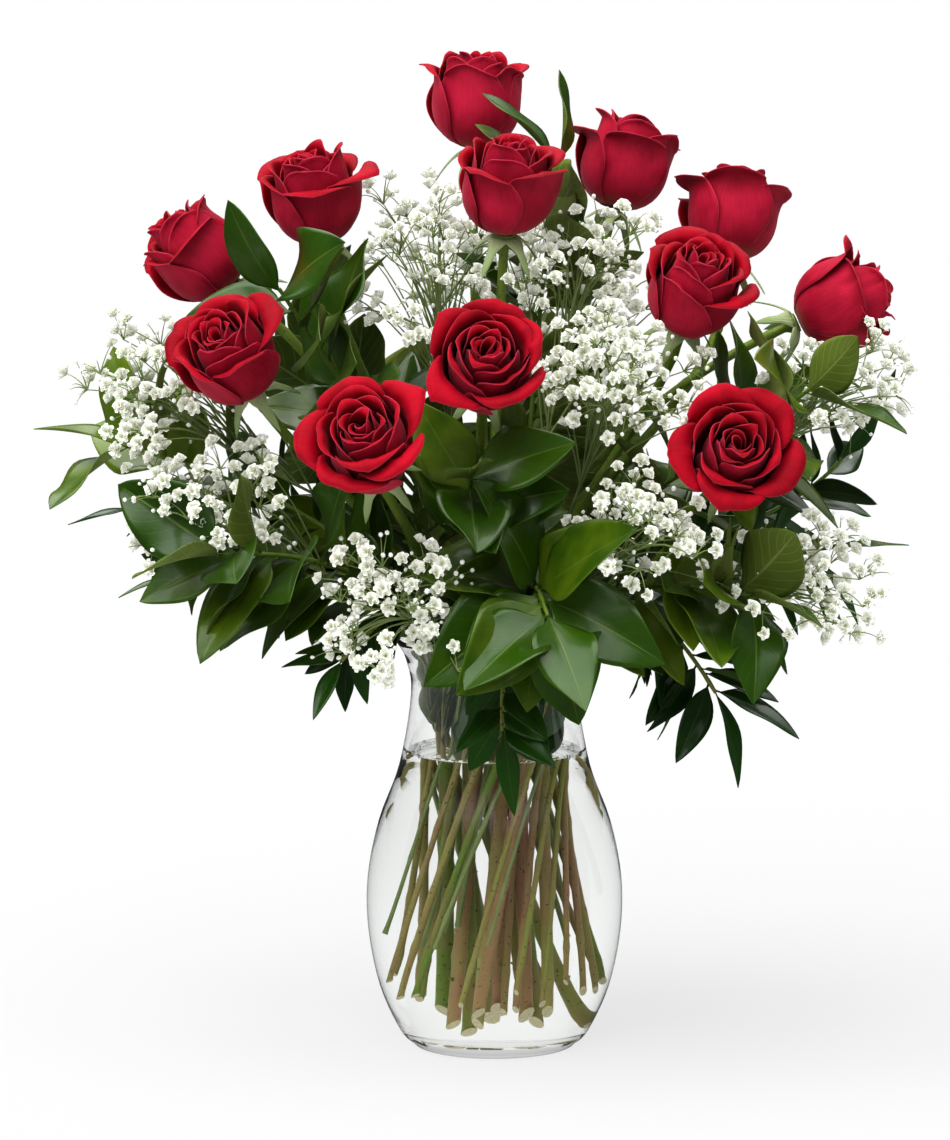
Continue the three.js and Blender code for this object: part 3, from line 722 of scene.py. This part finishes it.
def grow_florets(stem, middle, spread):
    """Branchlets from the upper stem all round, each with a floret at its end, out to the edge of the cloud."""
    random = seeded(500 + stem.index)
    for k in range(FLORETS):
        fork = stem.at(0.6 + 0.37 * k / (FLORETS - 1))
        for attempt in range(FLORET_TRIES):
            level = random(-0.6, 1)
            tip = Vector(middle) + round_about(k * GOLDEN_TURN + attempt * 0.7, level) * spread * random(0.6, 1.1)
            stalk = [(fork.lerp(tip, part), 0.0014) for part in (0.3, 0.5, 0.7, 0.85)]
            balls = [*stalk, (tip, FLORET_RADIUS + 0.001)]
            if room.is_clear(stem.name, balls):
                room.take(stem.name, balls)
                stem.florets.append((fork, tip))
                break


# The habit of a plant: how many leaves a stem has, their width as a share of their length, the turn from each to the
# next, the radius of the balls that keep them clear, and how far they lean out from the stem.
LEANING = {"tries": 7, "lean": (0.75, 1.1)}
BROAD_HABIT = {**LEANING, "seed": 200, "count": 5, "slim": 0.6, "turn": GOLDEN_TURN, "ball": 0.004}
SLENDER_HABIT = {**LEANING, "seed": 300, "count": 6, "slim": 0.3, "turn": math.pi, "ball": 0.003}
for stem, (_, _, longest, _) in zip(broad_greens, BROAD_GREENS):
    grow_leaves(stem, longest, BROAD_HABIT)
for stem, (middle, spread, _) in zip(sprays, SPRAYS):
    grow_florets(stem, middle, spread)
for stem, (_, _, longest, _) in zip(slender_greens, SLENDER_GREENS):
    grow_leaves(stem, longest, SLENDER_HABIT)


# ---------------------------------------------------------------- The rose stems
# Long woody stems, olive to reddish brown below the water, with swollen nodes, the stubs of cut thorns and a
# slanting cut at the foot. Each ends in a round green hip with five reflexed sepals under the bloom.
STRAIGHT_STEPS, CURVED_STEPS = 40, 60  # of a stem's line, in the vase and above its neck
NODE_REACH = 0.0032  # of a swollen node along the stem
CUT_DEPTH = 0.0012  # how much of a stem's middle the slanting cut takes off
THORN_EVERY = 0.024
# The hip's outline as heights above the end of the stem, with the radius at each.
HIP_SHAPE = [(0.0012, 0.0030), (0.0030, 0.0042), (0.0052, 0.0054), (0.0072, 0.0058), (0.0085, 0.0056)]
SEPALS = 5
PALE_STREAK, DARK_SPECK = (0.26, 0.28, 0.09), (0.035, 0.018, 0.008)
BARE_WOOD = 1  # a stem's second material


def tubes(name, lines, bevel_resolution):
    """A mesh of closed round tubes. Each line is a list of (point, radius)."""
    wire = bpy.data.curves.new(name, "CURVE")
    wire.dimensions = "3D"
    wire.bevel_depth = 1
    wire.bevel_resolution = bevel_resolution
    wire.use_fill_caps = True
    for line in lines:
        spline = wire.splines.new("POLY")
        spline.points.add(len(line) - 1)
        for point, (at, radius) in zip(spline.points, line):
            point.co = (*at, 1)
            point.radius = radius
    holder = bpy.data.objects.new(name, wire)
    mesh = bpy.data.meshes.new_from_object(holder)
    bpy.data.objects.remove(holder)
    bpy.data.curves.remove(wire)
    return mesh


def stem_line(stem, foot_radius, tip_radius, node_every, node_swell):
    """The middle of a stem from foot to head, with its radius, which swells a little at each node."""
    straight = [(stem.foot.lerp(stem.neck, k / STRAIGHT_STEPS), foot_radius) for k in range(STRAIGHT_STEPS)]
    taper = tip_radius - foot_radius
    curved = [(stem.at(k / CURVED_STEPS), foot_radius + taper * k / CURVED_STEPS) for k in range(CURVED_STEPS + 1)]
    line = []
    travelled = 0.31 * node_every * (stem.index % 3)  # so that the stems' nodes don't stand level
    for at, radius in straight + curved:
        travelled += (at - line[-1][0]).length if line else 0
        from_node = abs((travelled / node_every + 0.5) % 1 - 0.5) * node_every
        line.append((at, radius * (1 + node_swell * math.exp(-((from_node / NODE_REACH) ** 2)))))
    return line


def cut_foot(shape, stem):
    """Slants the cut end of a stem, mostly towards the front, and marks its face as bare wood."""
    side, over = across_to(stem.leans)
    slant = (side * math.sin(2.4 * stem.index) - over).normalized()
    for vertex in shape.verts:
        reach = vertex.co - stem.foot
        if abs(reach.dot(stem.leans)) < 0.0003:
            vertex.co += stem.leans * (CUT_DEPTH + reach.dot(slant))
    for face in shape.faces:  # only the ends of a stem are made of triangles
        if len(face.verts) == 3 and (face.calc_center_median() - stem.foot).length < 0.006:
            face.material_index = BARE_WOOD


def add_thorn(shape, at, outwards, length):
    """The stub of a thorn: a short cone that leans out of the bark."""
    turn = outwards.to_track_quat("Z", "Y").to_matrix().to_4x4()
    bmesh.ops.create_cone(
        shape, cap_ends=True, segments=6, radius1=0.0013, radius2=0.0002, depth=length,
        matrix=Matrix.Translation(at + outwards * length / 2) @ turn,
    )


def lay_grid(shape, columns, rows, place, tone):
    """A sheet of columns by rows, its points moved to place(u, v), u from -1 to 1 across and v from 0 to 1 along."""
    layer = shape.verts.layers.float["tone"]
    sheet = bmesh.ops.create_grid(shape, x_segments=columns, y_segments=rows, size=1, calc_uvs=True)
    for vertex in sheet["verts"]:
        vertex[layer] = tone
        vertex.co = place(vertex.co.x, (vertex.co.y + 1) / 2)


def new_sheets():
    """An empty bmesh that keeps a UV map, and a tone for each leaf, petal or stem."""
    shape = bmesh.new()
    shape.verts.layers.float.new("tone")
    shape.loops.layers.uv.new("UVMap")
    return shape


def paint_tone(shape, tone):
    """Gives a whole shape one tone."""
    layer = shape.verts.layers.float["tone"]
    for vertex in shape.verts:
        vertex[layer] = tone


def thicken(piece, thickness, back_material=0):
    """Gives a sheet its thickness, half of it to each side, and its back another of its materials."""
    solid = piece.modifiers.new("thickness", "SOLIDIFY")
    solid.thickness = thickness
    solid.offset = 0
    solid.material_offset = back_material


def bark(name, green, olive, brown):
    """Smooth young bark, green or olive from stem to stem, with brown patches low down and fine streaks along it."""
    finish = Finish(name)
    patches = finish.noise(26, detail=3).between(0.40, 0.62)
    streaks = finish.noise(420, detail=2, stretch=(1, 1, 0.12))
    height = Field(finish, finish.add("ShaderNodeSeparateXYZ", inputs={0: finish.place()}).outputs["Z"])
    low = 1 - height.between(0.14, 0.30)
    specks = finish.noise(650, detail=1).between(0.66, 0.72)
    skin = finish.mix(finish.tone().between(0.1, 0.6) * low, green, olive)
    skin = finish.mix(low * (patches * 0.45 + 0.55 * finish.tone().between(0.55, 0.9)), skin, brown)
    skin = finish.mix(streaks.between(0.35, 0.75) * 0.3, skin, PALE_STREAK)
    skin = finish.mix(specks * 0.75, skin, DARK_SPECK)
    return finish.surface(
        Base_Color=skin,
        Roughness=0.42 + 0.2 * streaks,
        Normal=finish.bump(streaks + patches * 0.4, strength=0.35, distance=0.0005),
    )


rose_bark = bark("rose_bark", (0.150, 0.240, 0.022), (0.370, 0.340, 0.100), (0.410, 0.175, 0.125))
pith = Finish("cut_wood")
pith_grain = pith.noise(900, detail=2).between(0.3, 0.7)
pith_wood = pith.surface(Base_Color=pith.mix(pith_grain, (0.50, 0.46, 0.27), (0.66, 0.62, 0.42)), Roughness=0.7)
sepal_skin = Finish("sepal_green")
across, along = sepal_skin.across_and_along()
towards_tip = along.between(0.1, 1) * 0.6 + 0.3 * sepal_skin.noise(120)
sepal_green = sepal_skin.surface(
    Base_Color=sepal_skin.mix(towards_tip, (0.44, 0.52, 0.28), (0.19, 0.30, 0.09)),
    Roughness=0.55,
    Normal=sepal_skin.bump((across * 14).math("SINE"), strength=0.25, distance=0.0004),
)


def sepal_at(place, turn, u, v):
    """A sepal's surface: out from under the bloom, arching down, wide at its root and drawn out to a fine tip."""
    out = 0.0045 + 0.0180 * v ** 0.85
    wide = 0.0048 * (1 - v) ** 0.75 * (1 + 0.2 * math.sin(3.2 * math.pi * v)) * u
    down = -0.0012 - 0.0200 * v ** 1.4 - 0.0012 * abs(u) * (1 - v)
    return place(math.hypot(out, wide), turn + math.atan2(wide, out), down)


for stem, (middle, faces, _, spin, _) in zip(rose_stems, ROSES):
    _, axis, place = bloom_frame(middle, faces)
    random = seeded(900 + stem.index)
    line = stem_line(stem, random(0.0026, 0.0033), tip_radius=0.0026, node_every=0.052, node_swell=0.22)
    line += [(stem.head + axis * up, radius) for up, radius in HIP_SHAPE]
    shape = new_sheets()
    shape.from_mesh(tubes(stem.name, [line], 3))
    paint_tone(shape, random(0, 1))
    cut_foot(shape, stem)
    reach = THORN_EVERY
    while reach < (stem.neck - stem.foot).length:
        side, over = across_to(stem.leans)
        turn = random(0, 2 * math.pi)
        outwards = side * math.cos(turn) + over * math.sin(turn)
        at = stem.foot + stem.leans * reach + outwards * (stem.radius - 0.0006)
        add_thorn(shape, at, (outwards + stem.leans * 0.3).normalized(), random(0.0016, 0.0034))
        reach += THORN_EVERY * random(0.8, 1.9)
    bmesh.ops.recalc_face_normals(shape, faces=shape.faces)
    piece = shown(stem.name + "_bark", mesh_of(stem.name, shape), rose_bark, pith_wood)
    dressed(piece, node=stem.name)

    calyx = new_sheets()
    for k in range(SEPALS):
        turn = spin + k * 2 * math.pi / SEPALS
        lay_grid(calyx, 4, 9, lambda u, v: sepal_at(place, turn, u, v), random(0, 1))
    sepals = shown(numbered("rose_sepals", stem.index), mesh_of("sepals", calyx), sepal_green)
    thicken(sepals, 0.0006)
    dressed(sepals)


# ---------------------------------------------------------------- The rose blooms
# Each bloom is its petals in overlapping whorls, from five broad guard petals to a furled heart, all seated in the
# hip of its stem. A petal is a velvety sheet, cupped below and rolled back at its lip and edges, deep crimson inside
# and a little paler on its back.
BLOOM_RADIUS = 0.0240
# Each whorl from the guard petals inwards: its petals, its share of the bloom's radius, and how far a petal reaches
# round the axis to each side.
WHORLS = [
    (5, 1.0, 1.02), (4, 0.86, 1.1), (3, 0.69, 1.25), (3, 0.55, 1.25), (3, 0.42, 1.35), (2, 0.30, 2.0), (1, 0.17, 3.0),
]
PETAL_COLUMNS, PETAL_ROWS = 18, 18
PETAL_FOOT = 0.025  # share of a petal's length that is hidden in the hip
PETAL_THICK = 0.00055
PETAL_CLAW, PETAL_RIM = (0.22, 0.10, 0.03), (0.62, 0.10, 0.14)
SHEEN_PINK = (1, 0.36, 0.46, 1)


def smooth_step(low, high, value):
    """0 below low, 1 above high, and a smooth step between them."""
    share = min(1, max(0, (value - low) / (high - low)))
    return share * share * (3 - 2 * share)


def petal_at(petal, u, v):
    """A point of a petal as its distance from the bloom's axis, its turn round it, and its height."""
    # How far up the petal the point lies. The petal's rim is lower at its sides than in its middle.
    v = PETAL_FOOT + (1 - PETAL_FOOT) * v
    share = v * (1 - 0.2 * abs(u) ** 2.6 + petal["point"] * (1 - abs(u)) ** 3)
    # It bellies out and closes again, its lip turns outwards, and one side wraps over the next petal.
    belly = math.sin(math.pi * petal["closing"] * min(1, share) ** 0.54)
    lip = petal["lip"] * max(0, (share - 0.56) / 0.44) ** 2
    side_roll = petal["roll"] * max(0, u) ** 3 * smooth_step(0.2, 0.6, share)
    crease = petal["crease"] * math.exp(-((u / 0.16) ** 2)) * smooth_step(0.3, 1, share)
    out = petal["radius"] * (belly * (1 + petal["wrap"] * u) + lip + side_roll - crease)
    up = petal["height"] * (share - 0.4 * lip)
    narrowing = petal["taper"] * smooth_step(0.4, 1, share)
    reach = petal["spread"] * (0.8 + 0.2 * smooth_step(0, 0.4, share) - narrowing)
    # The rim curls back along a line that comes lower towards the petal's edges, which leaves it a pointed tip.
    past = share + petal["corner"] * abs(u) ** 1.7 * smooth_step(0.45, 0.9, share) - petal["curl_from"]
    past = max(0, past) * petal["height"]
    bend = past / petal["curl"]
    out += petal["curl"] * (1 - math.cos(bend))
    up -= past - petal["curl"] * math.sin(bend)
    ruffle = math.sin(petal["phase"] + 3.4 * u) + 0.5 * math.sin(1.7 * petal["phase"] + 7 * u)
    out += petal["radius"] * 0.035 * ruffle * share * share
    return out, petal["turn"] + reach * u + 0.02 * ruffle * share, up


def petals_of(index, opened, spin):
    """The shape of each petal of a bloom. The more it has opened, the further its outer petals have let go."""
    random = seeded(100 + index)
    for depth, (count, share, spread) in enumerate(WHORLS):
        outer = 1 - depth / (len(WHORLS) - 1)  # 1 at the guard petals and 0 at the heart
        for k in range(count):
            flare = opened if depth == 0 and k == 0 else 0  # the one guard petal that has fallen open
            loose = 0 if flare else random(0, 1) * outer ** 4
            yield {
                "turn": spin + depth * 0.95 + k * 2 * math.pi / count + random(-0.12, 0.12),
                "radius": BLOOM_RADIUS * share * (1 + 0.04 * loose),
                "spread": spread * random(0.92, 1.06),
                "height": BLOOM_HEIGHT * (1.04 - 0.15 * (1 - outer) - 0.09 * outer ** 6) * random(0.90, 1.03),
                "closing": 0.86 - 0.18 * opened + 0.03 * (1 - outer) - 0.11 * flare - 0.05 * loose,
                "lip": (0.17 + 0.26 * opened) * outer ** 2 * random(0.7, 1.4) + 0.16 * flare + 0.22 * loose,
                "roll": 0.14 * outer ** 2,
                "crease": random(0, 0.12) * outer ** 2,
                "taper": (0.56 - 0.26 * opened) * outer ** 2,
                "wrap": 0.065 if count > 2 else 0.3,
                "point": 0.06 * random(0.2, 1),
                "corner": 0.02 + 0.18 * outer ** 3,
                "curl_from": 0.90 + 0.08 * (1 - outer) ** 0.5 + random(-0.03, 0.01),
                "curl": 0.0022 + 0.0060 * outer ** 2 * random(0.7, 1.3),
                "phase": random(0, 6.28),
            }


def velvet(name, deep, bright, rim_pale, sheen):
    """A rose petal: velvety, finely veined along its length, darker in places, with a thin paler rim."""
    finish = Finish(name)
    across, along = finish.across_and_along()
    uv = finish.add("ShaderNodeUVMap").outputs[0]
    veins = finish.noise(1, detail=4, where=uv, stretch=(70, 4, 1))
    blotches = finish.noise(60, detail=3)
    brightness = blotches.between(0.3, 0.7) * 0.5 + veins.between(0.35, 0.7) * 0.25 + finish.tone() * 0.25
    rim = abs(across).math("MAXIMUM", along).between(0.984, 1.0)
    skin = finish.mix(brightness, deep, bright)
    skin = finish.mix((1 - along.between(0.0, 0.12)) * 0.5, skin, PETAL_CLAW)
    skin = finish.mix(rim * rim_pale, skin, PETAL_RIM)
    grain = finish.noise(2600, detail=1)
    return finish.surface(
        Base_Color=skin,
        Roughness=0.52 + 0.16 * blotches,
        Specular_IOR_Level=0.15,
        Sheen_Weight=sheen,
        Sheen_Roughness=0.35,
        Sheen_Tint=SHEEN_PINK,
        Normal=finish.bump(veins * 0.8 + grain * 0.25, strength=0.16, distance=0.0005),
    )


petal_inside = velvet("petal_velvet", (0.20, 0.0005, 0.006), (0.48, 0.002, 0.020), rim_pale=0.14, sheen=0.06)
petal_back = velvet("petal_back", (0.27, 0.002, 0.018), (0.54, 0.016, 0.056), rim_pale=0.25, sheen=0.20)

for index, (middle, faces, opened, spin, _) in enumerate(ROSES):
    place = bloom_frame(middle, faces)[2]
    shape = new_sheets()
    tones = seeded(700 + index)
    for petal in petals_of(index, opened, spin):
        lay_grid(shape, PETAL_COLUMNS, PETAL_ROWS, lambda u, v: place(*petal_at(petal, u, v)), tones(0, 1))
    bloom = shown(numbered("rose_petals", index), mesh_of("petals", shape), petal_back, petal_inside)
    thicken(bloom, PETAL_THICK, back_material=1)
    dressed(bloom, node=numbered("rose_bloom", index))


# ---------------------------------------------------------------- The broad-leaved greens
# Arching stems of leathery pointed oval leaves, glossy above with pale sunk veins, and matt and greyer below. Each
# leaf grows from the stem on a short stalk. Small ones fill the neck of the vase, between the stems.
BROAD_MORE = {**BROAD_HABIT, "seed": 240, "count": 18, "turn": 2.6, "ball": 0.0018, "slim": 0.66}
BROAD_TONES = (0.6, 0.8, 0.55, 0.65, 0.55, 0.9, 0.7, 0.55, 0.45, 0.45)  # 0 is a dark old leaf and 1 a pale new one
IN_NECK = {**BROAD_HABIT, "seed": 260, "count": 11, "ball": 0.0006, "slim": 0.62, "tries": 9, "lean": (0.02, 0.4)}
NECK_LEAF = 0.050
NECK_FIRST, NECK_LAST = -0.11, 0.12  # the part of a stem that they grow on, which is 0 at the vase's neck
LEAF_THICK = 0.0005
VEIN_SWEEP = 0.30


def fill_out(stem, longest, habit, first):
    """More leaves between a stem's large ones, and small ones in the neck of the vase."""
    grow_leaves(stem, longest, habit, first, last_upright=False)
    grow_leaves(stem, NECK_LEAF, IN_NECK, NECK_FIRST, NECK_LAST, last_upright=False)


def leaf_skin(name, dark, middle, light, vein, ribs, veined, roughness, gloss):
    """A leaf's face: a pale midrib, side veins that sweep to the tip, and a green that shifts from leaf to leaf."""
    finish = Finish(name)
    across, along = finish.across_and_along()
    midrib = 1 - abs(across).between(0.012, 0.05)
    sweep = along * ribs - abs(across) * ribs * VEIN_SWEEP
    side_veins = 1 - sweep.math("PINGPONG", 0.5).between(0.012, 0.085)
    rim = abs(across).between(0.95, 1)
    net = finish.noise(340, detail=2)
    patches = finish.noise(45, detail=3)
    age = finish.tone() * 0.8 + patches.between(0.3, 0.7) * 0.2
    skin = finish.mix(age.between(0, 0.55), dark, middle)
    skin = finish.mix(age.between(0.55, 1), skin, light)
    skin = finish.mix(midrib.math("MAXIMUM", side_veins * veined + rim * 0.4) * 0.5, skin, vein)
    return finish.surface(
        Base_Color=skin,
        Roughness=roughness + 0.12 * net,
        Specular_IOR_Level=0.35,
        Coat_Weight=gloss * (0.6 + 0.5 * patches),
        Coat_Roughness=0.16,
        Normal=finish.bump(net * 0.2 - side_veins * veined - midrib, strength=0.35, distance=0.0006),
    )


def leafy_pieces(stem, faces, columns, rows, tone):
    """The leaves of a stem, with their two faces, and the stem itself in its bark."""
    random = seeded(1200 + 40 * stem.index)
    shape = new_sheets()
    for leaf in stem.leaves:
        leaf.wave = random(-0.25, 0.25)
        leaf.twist = random(-0.7, 0.7)
        lay_grid(shape, columns, rows, leaf.at, min(1, max(0, tone + random(-0.3, 0.3))))
    leaves = shown(f"{stem.name}_leaves", mesh_of("leaves", shape), *faces)
    thicken(leaves, LEAF_THICK, back_material=1)
    dressed(leaves, node=stem.name)

    twig = new_sheets()
    line = stem_line(stem, 0.8 * stem.radius, tip_radius=0.0011, node_every=0.030, node_swell=0.25)
    twig.from_mesh(tubes(stem.name, [line], 2))
    paint_tone(twig, random(0, 1))
    cut_foot(twig, stem)
    dressed(shown(f"{stem.name}_stem", mesh_of("stem", twig), green_bark, pith_wood))


green_bark = bark("green_bark", (0.120, 0.220, 0.018), (0.320, 0.310, 0.080), (0.330, 0.170, 0.100))
broad_upper = leaf_skin(
    "broad_leaf_face",
    dark=(0.003, 0.017, 0.0003), middle=(0.026, 0.076, 0.001), light=(0.130, 0.200, 0.008),
    vein=(0.13, 0.19, 0.02), ribs=8, veined=0.15, roughness=0.28, gloss=0.35,
)
broad_lower = leaf_skin(
    "broad_leaf_back",
    dark=(0.045, 0.085, 0.006), middle=(0.120, 0.170, 0.022), light=(0.260, 0.320, 0.090),
    vein=(0.32, 0.38, 0.14), ribs=8, veined=0.6, roughness=0.6, gloss=0,
)
for stem, (_, _, longest, _), tone in zip(broad_greens, BROAD_GREENS, BROAD_TONES):
    fill_out(stem, longest * 1.2, BROAD_MORE, first=0.22)
    leafy_pieces(stem, (broad_upper, broad_lower), 10, 16, tone)


# ---------------------------------------------------------------- The gypsophila
# Sprays of wiry pale-green stalks that stand in the water with the roses. They fork into hair-thin branchlets all
# through an airy cloud, and each branchlet carries a small ruffled white floret or an unopened bud.
CYMES = 34  # forks in each cloud, each with its own handful of florets and buds
CYME_HEADS = 9
BUD_SHARE = 0.42
FLORET_RUFFLES = ((0.0048, 9, 0.0002), (0.0040, 8, 0.0014), (0.0029, 7, 0.0026))  # radius, frills and height
BRANCHLET, PEDICEL = 0.00050, 0.00030  # radius of the stalk to a fork, and of a floret's own


def floret_mesh():
    """One floret at the origin, facing up: three frilled cups, one in the other. Its tone is 1 at their rims, 0.75 in
    the notches between frills and 0 in each cup's middle, which paints both the floret's green heart and painted
    shade in its hollows.
    """
    shape = new_sheets()
    layer = shape.verts.layers.float["tone"]
    for radius, frills, height in FLORET_RUFFLES:
        cup = bmesh.ops.create_cone(shape, segments=2 * frills, radius1=radius, radius2=0.0005, depth=0.001)
        for vertex in cup["verts"]:
            is_notch = round(math.atan2(vertex.co.y, vertex.co.x) / (math.pi / frills)) % 2
            if vertex.co.z > 0:
                vertex.co.z = height - 0.0022
            else:
                # Painted shade: the notches between the frills get a lower tone, so they come out darker and greener.
                vertex[layer] = 0.75 if is_notch else 1
                vertex.co *= 0.74 if is_notch else 1
                vertex.co.z = height + (0.0012 if is_notch else 0)
    return mesh_of("floret", shape, smooth=False)


def bud_mesh():
    """An unopened bud: a small round knob, drawn in where its stalk meets it."""
    shape = new_sheets()
    bmesh.ops.create_icosphere(shape, subdivisions=1, radius=0.0013)
    paint_tone(shape, 0.8)
    for vertex in shape.verts:
        if vertex.co.z < -0.0005:
            vertex.co.z *= 1.5
    return mesh_of("bud", shape)


def grow_cymes(stem, middle, spread):
    """Short forks all through the cloud. Each ends in a handful of heads, as far as there is room for them."""
    random = seeded(560 + stem.index)
    for k in range(CYMES):
        level = random(-0.7, 1)
        out = round_about(k * GOLDEN_TURN + random(-0.4, 0.4), level)
        fork = stem.at(random(0.55, 0.95))
        node = Vector(middle) + out * spread * random(0.25, 0.98)
        stalk = [(fork.lerp(node, part), 0.0008) for part in (0.4, 0.6, 0.8, 1)]
        if not room.is_clear(stem.name, stalk):
            continue
        room.take(stem.name, stalk)
        heads = []
        for _ in range(CYME_HEADS):
            is_bud = random(0, 1) < BUD_SHARE
            away = Vector((random(-1, 1), random(-1, 1), random(-0.4, 1))).normalized()
            tip = node + (away + out * 0.6).normalized() * random(0.008, 0.019)
            ball = [(tip, 0.0015 if is_bud else FLORET_RADIUS * 0.72)]
            if room.is_clear(None, ball):
                room.take(stem.name, ball)
                heads.append((tip, is_bud))
        if heads:
            stem.cymes.append((fork, node, heads))


def branchlet(fork, tip, stalk):
    """A thin stalk that leaves the spray's stem and bows a little to its floret."""
    bow = Vector((0, 0, 0.10 * (tip - fork).length))
    line = []
    for part in (0, 0.25, 0.5, 0.75):
        line.append((fork.lerp(tip, part) + bow * math.sin(math.pi * part), stalk * (1.5 - part)))
    return [*line, (tip, stalk * 0.6)]


floret, bud = floret_mesh(), bud_mesh()
white = Finish("floret_white")
# How pale each point of a floret is, from its tone and a random mottle. Where the tone is low, in the notches and the
# cup middles, this is painted shade, and partly the green of the floret's heart.
paleness_and_painted_shade = white.tone() + 0.3 * white.noise(260, detail=2) - 0.15
bloom_white = white.mix(paleness_and_painted_shade, (0.46, 0.49, 0.34), (0.98, 0.98, 0.96))
# Painted light: the florets glow faintly in their own colour. This lifts their shaded sides as if light shone through
# their thin petals.
glowing_floret_white = white.surface(
    Base_Color=bloom_white,
    Roughness=0.75,
    Sheen_Weight=0.2,
    Emission_Color=bloom_white,
    Emission_Strength=0.16,
)
wire = Finish("gypsophila_stalk")
stalk_green = wire.surface(
    Base_Color=wire.mix(wire.noise(90, detail=2), (0.16, 0.24, 0.07), (0.30, 0.36, 0.14)),
    Roughness=0.6,
    Normal=wire.bump(wire.noise(500, detail=1), strength=0.2, distance=0.0003),
)

for stem, (middle, spread, _) in zip(sprays, SPRAYS):
    stem.cymes = [(fork, tip, [(tip, False)]) for fork, tip in stem.florets]
    grow_cymes(stem, middle, spread)
    random = seeded(1600 + 40 * stem.index)
    heads = new_sheets()
    lines = [stem_line(stem, 0.0012, tip_radius=0.0007, node_every=0.045, node_swell=0.3)]
    for fork, node, tips in stem.cymes:
        lines.append(branchlet(fork, node, BRANCHLET))
        for tip, is_bud in tips:
            facing = (tip - fork).normalized() + Vector((random(-0.5, 0.5), random(-0.9, 0.1), random(0, 0.7)))
            turn = facing.to_track_quat("Z", "Y").to_matrix().to_4x4()
            size = Matrix.Scale(random(0.8, 1.15), 4)
            known = set(heads.verts)
            heads.from_mesh(bud if is_bud else floret)
            fresh = [vertex for vertex in heads.verts if vertex not in known]
            bmesh.ops.transform(heads, matrix=Matrix.Translation(tip) @ turn @ size, verts=fresh)
            if tip != node:
                lines.append(branchlet(node, tip - facing.normalized() * 0.001, PEDICEL))
    blossom = shown(f"{stem.name}_florets", mesh_of("florets", heads, smooth=False), glowing_floret_white)
    dressed(blossom, node=stem.name)
    dressed(shown(f"{stem.name}_stalks", tubes(stem.name, lines, 0), stalk_green))


# ---------------------------------------------------------------- The slender-leaved greens
# Arching stems with narrow, pointed, thin leaves in two rows, dark and glossy above and duller below. They stand
# lowest in the bouquet, and most of them hang out over the rim of the vase.
SLENDER_MORE = {**SLENDER_HABIT, "seed": 340, "count": 15, "ball": 0.0016, "slim": 0.4}
SLENDER_TONES = (0.65, 0.5, 0.3, 0.4, 0.25, 0.75, 0.15, 0.4, 0.4)

slender_upper = leaf_skin(
    "slender_leaf_face",
    dark=(0.003, 0.018, 0.001), middle=(0.012, 0.056, 0.002), light=(0.075, 0.160, 0.006),
    vein=(0.06, 0.12, 0.02), ribs=16, veined=0.05, roughness=0.26, gloss=0.5,
)
slender_lower = leaf_skin(
    "slender_leaf_back",
    dark=(0.010, 0.030, 0.003), middle=(0.035, 0.075, 0.006), light=(0.110, 0.160, 0.025),
    vein=(0.10, 0.14, 0.05), ribs=16, veined=0.3, roughness=0.5, gloss=0,
)
for stem, (_, _, longest, _), tone in zip(slender_greens, SLENDER_GREENS, SLENDER_TONES):
    fill_out(stem, longest * 0.9, SLENDER_MORE, first=0.34)
    leafy_pieces(stem, (slender_upper, slender_lower), 6, 14, tone)
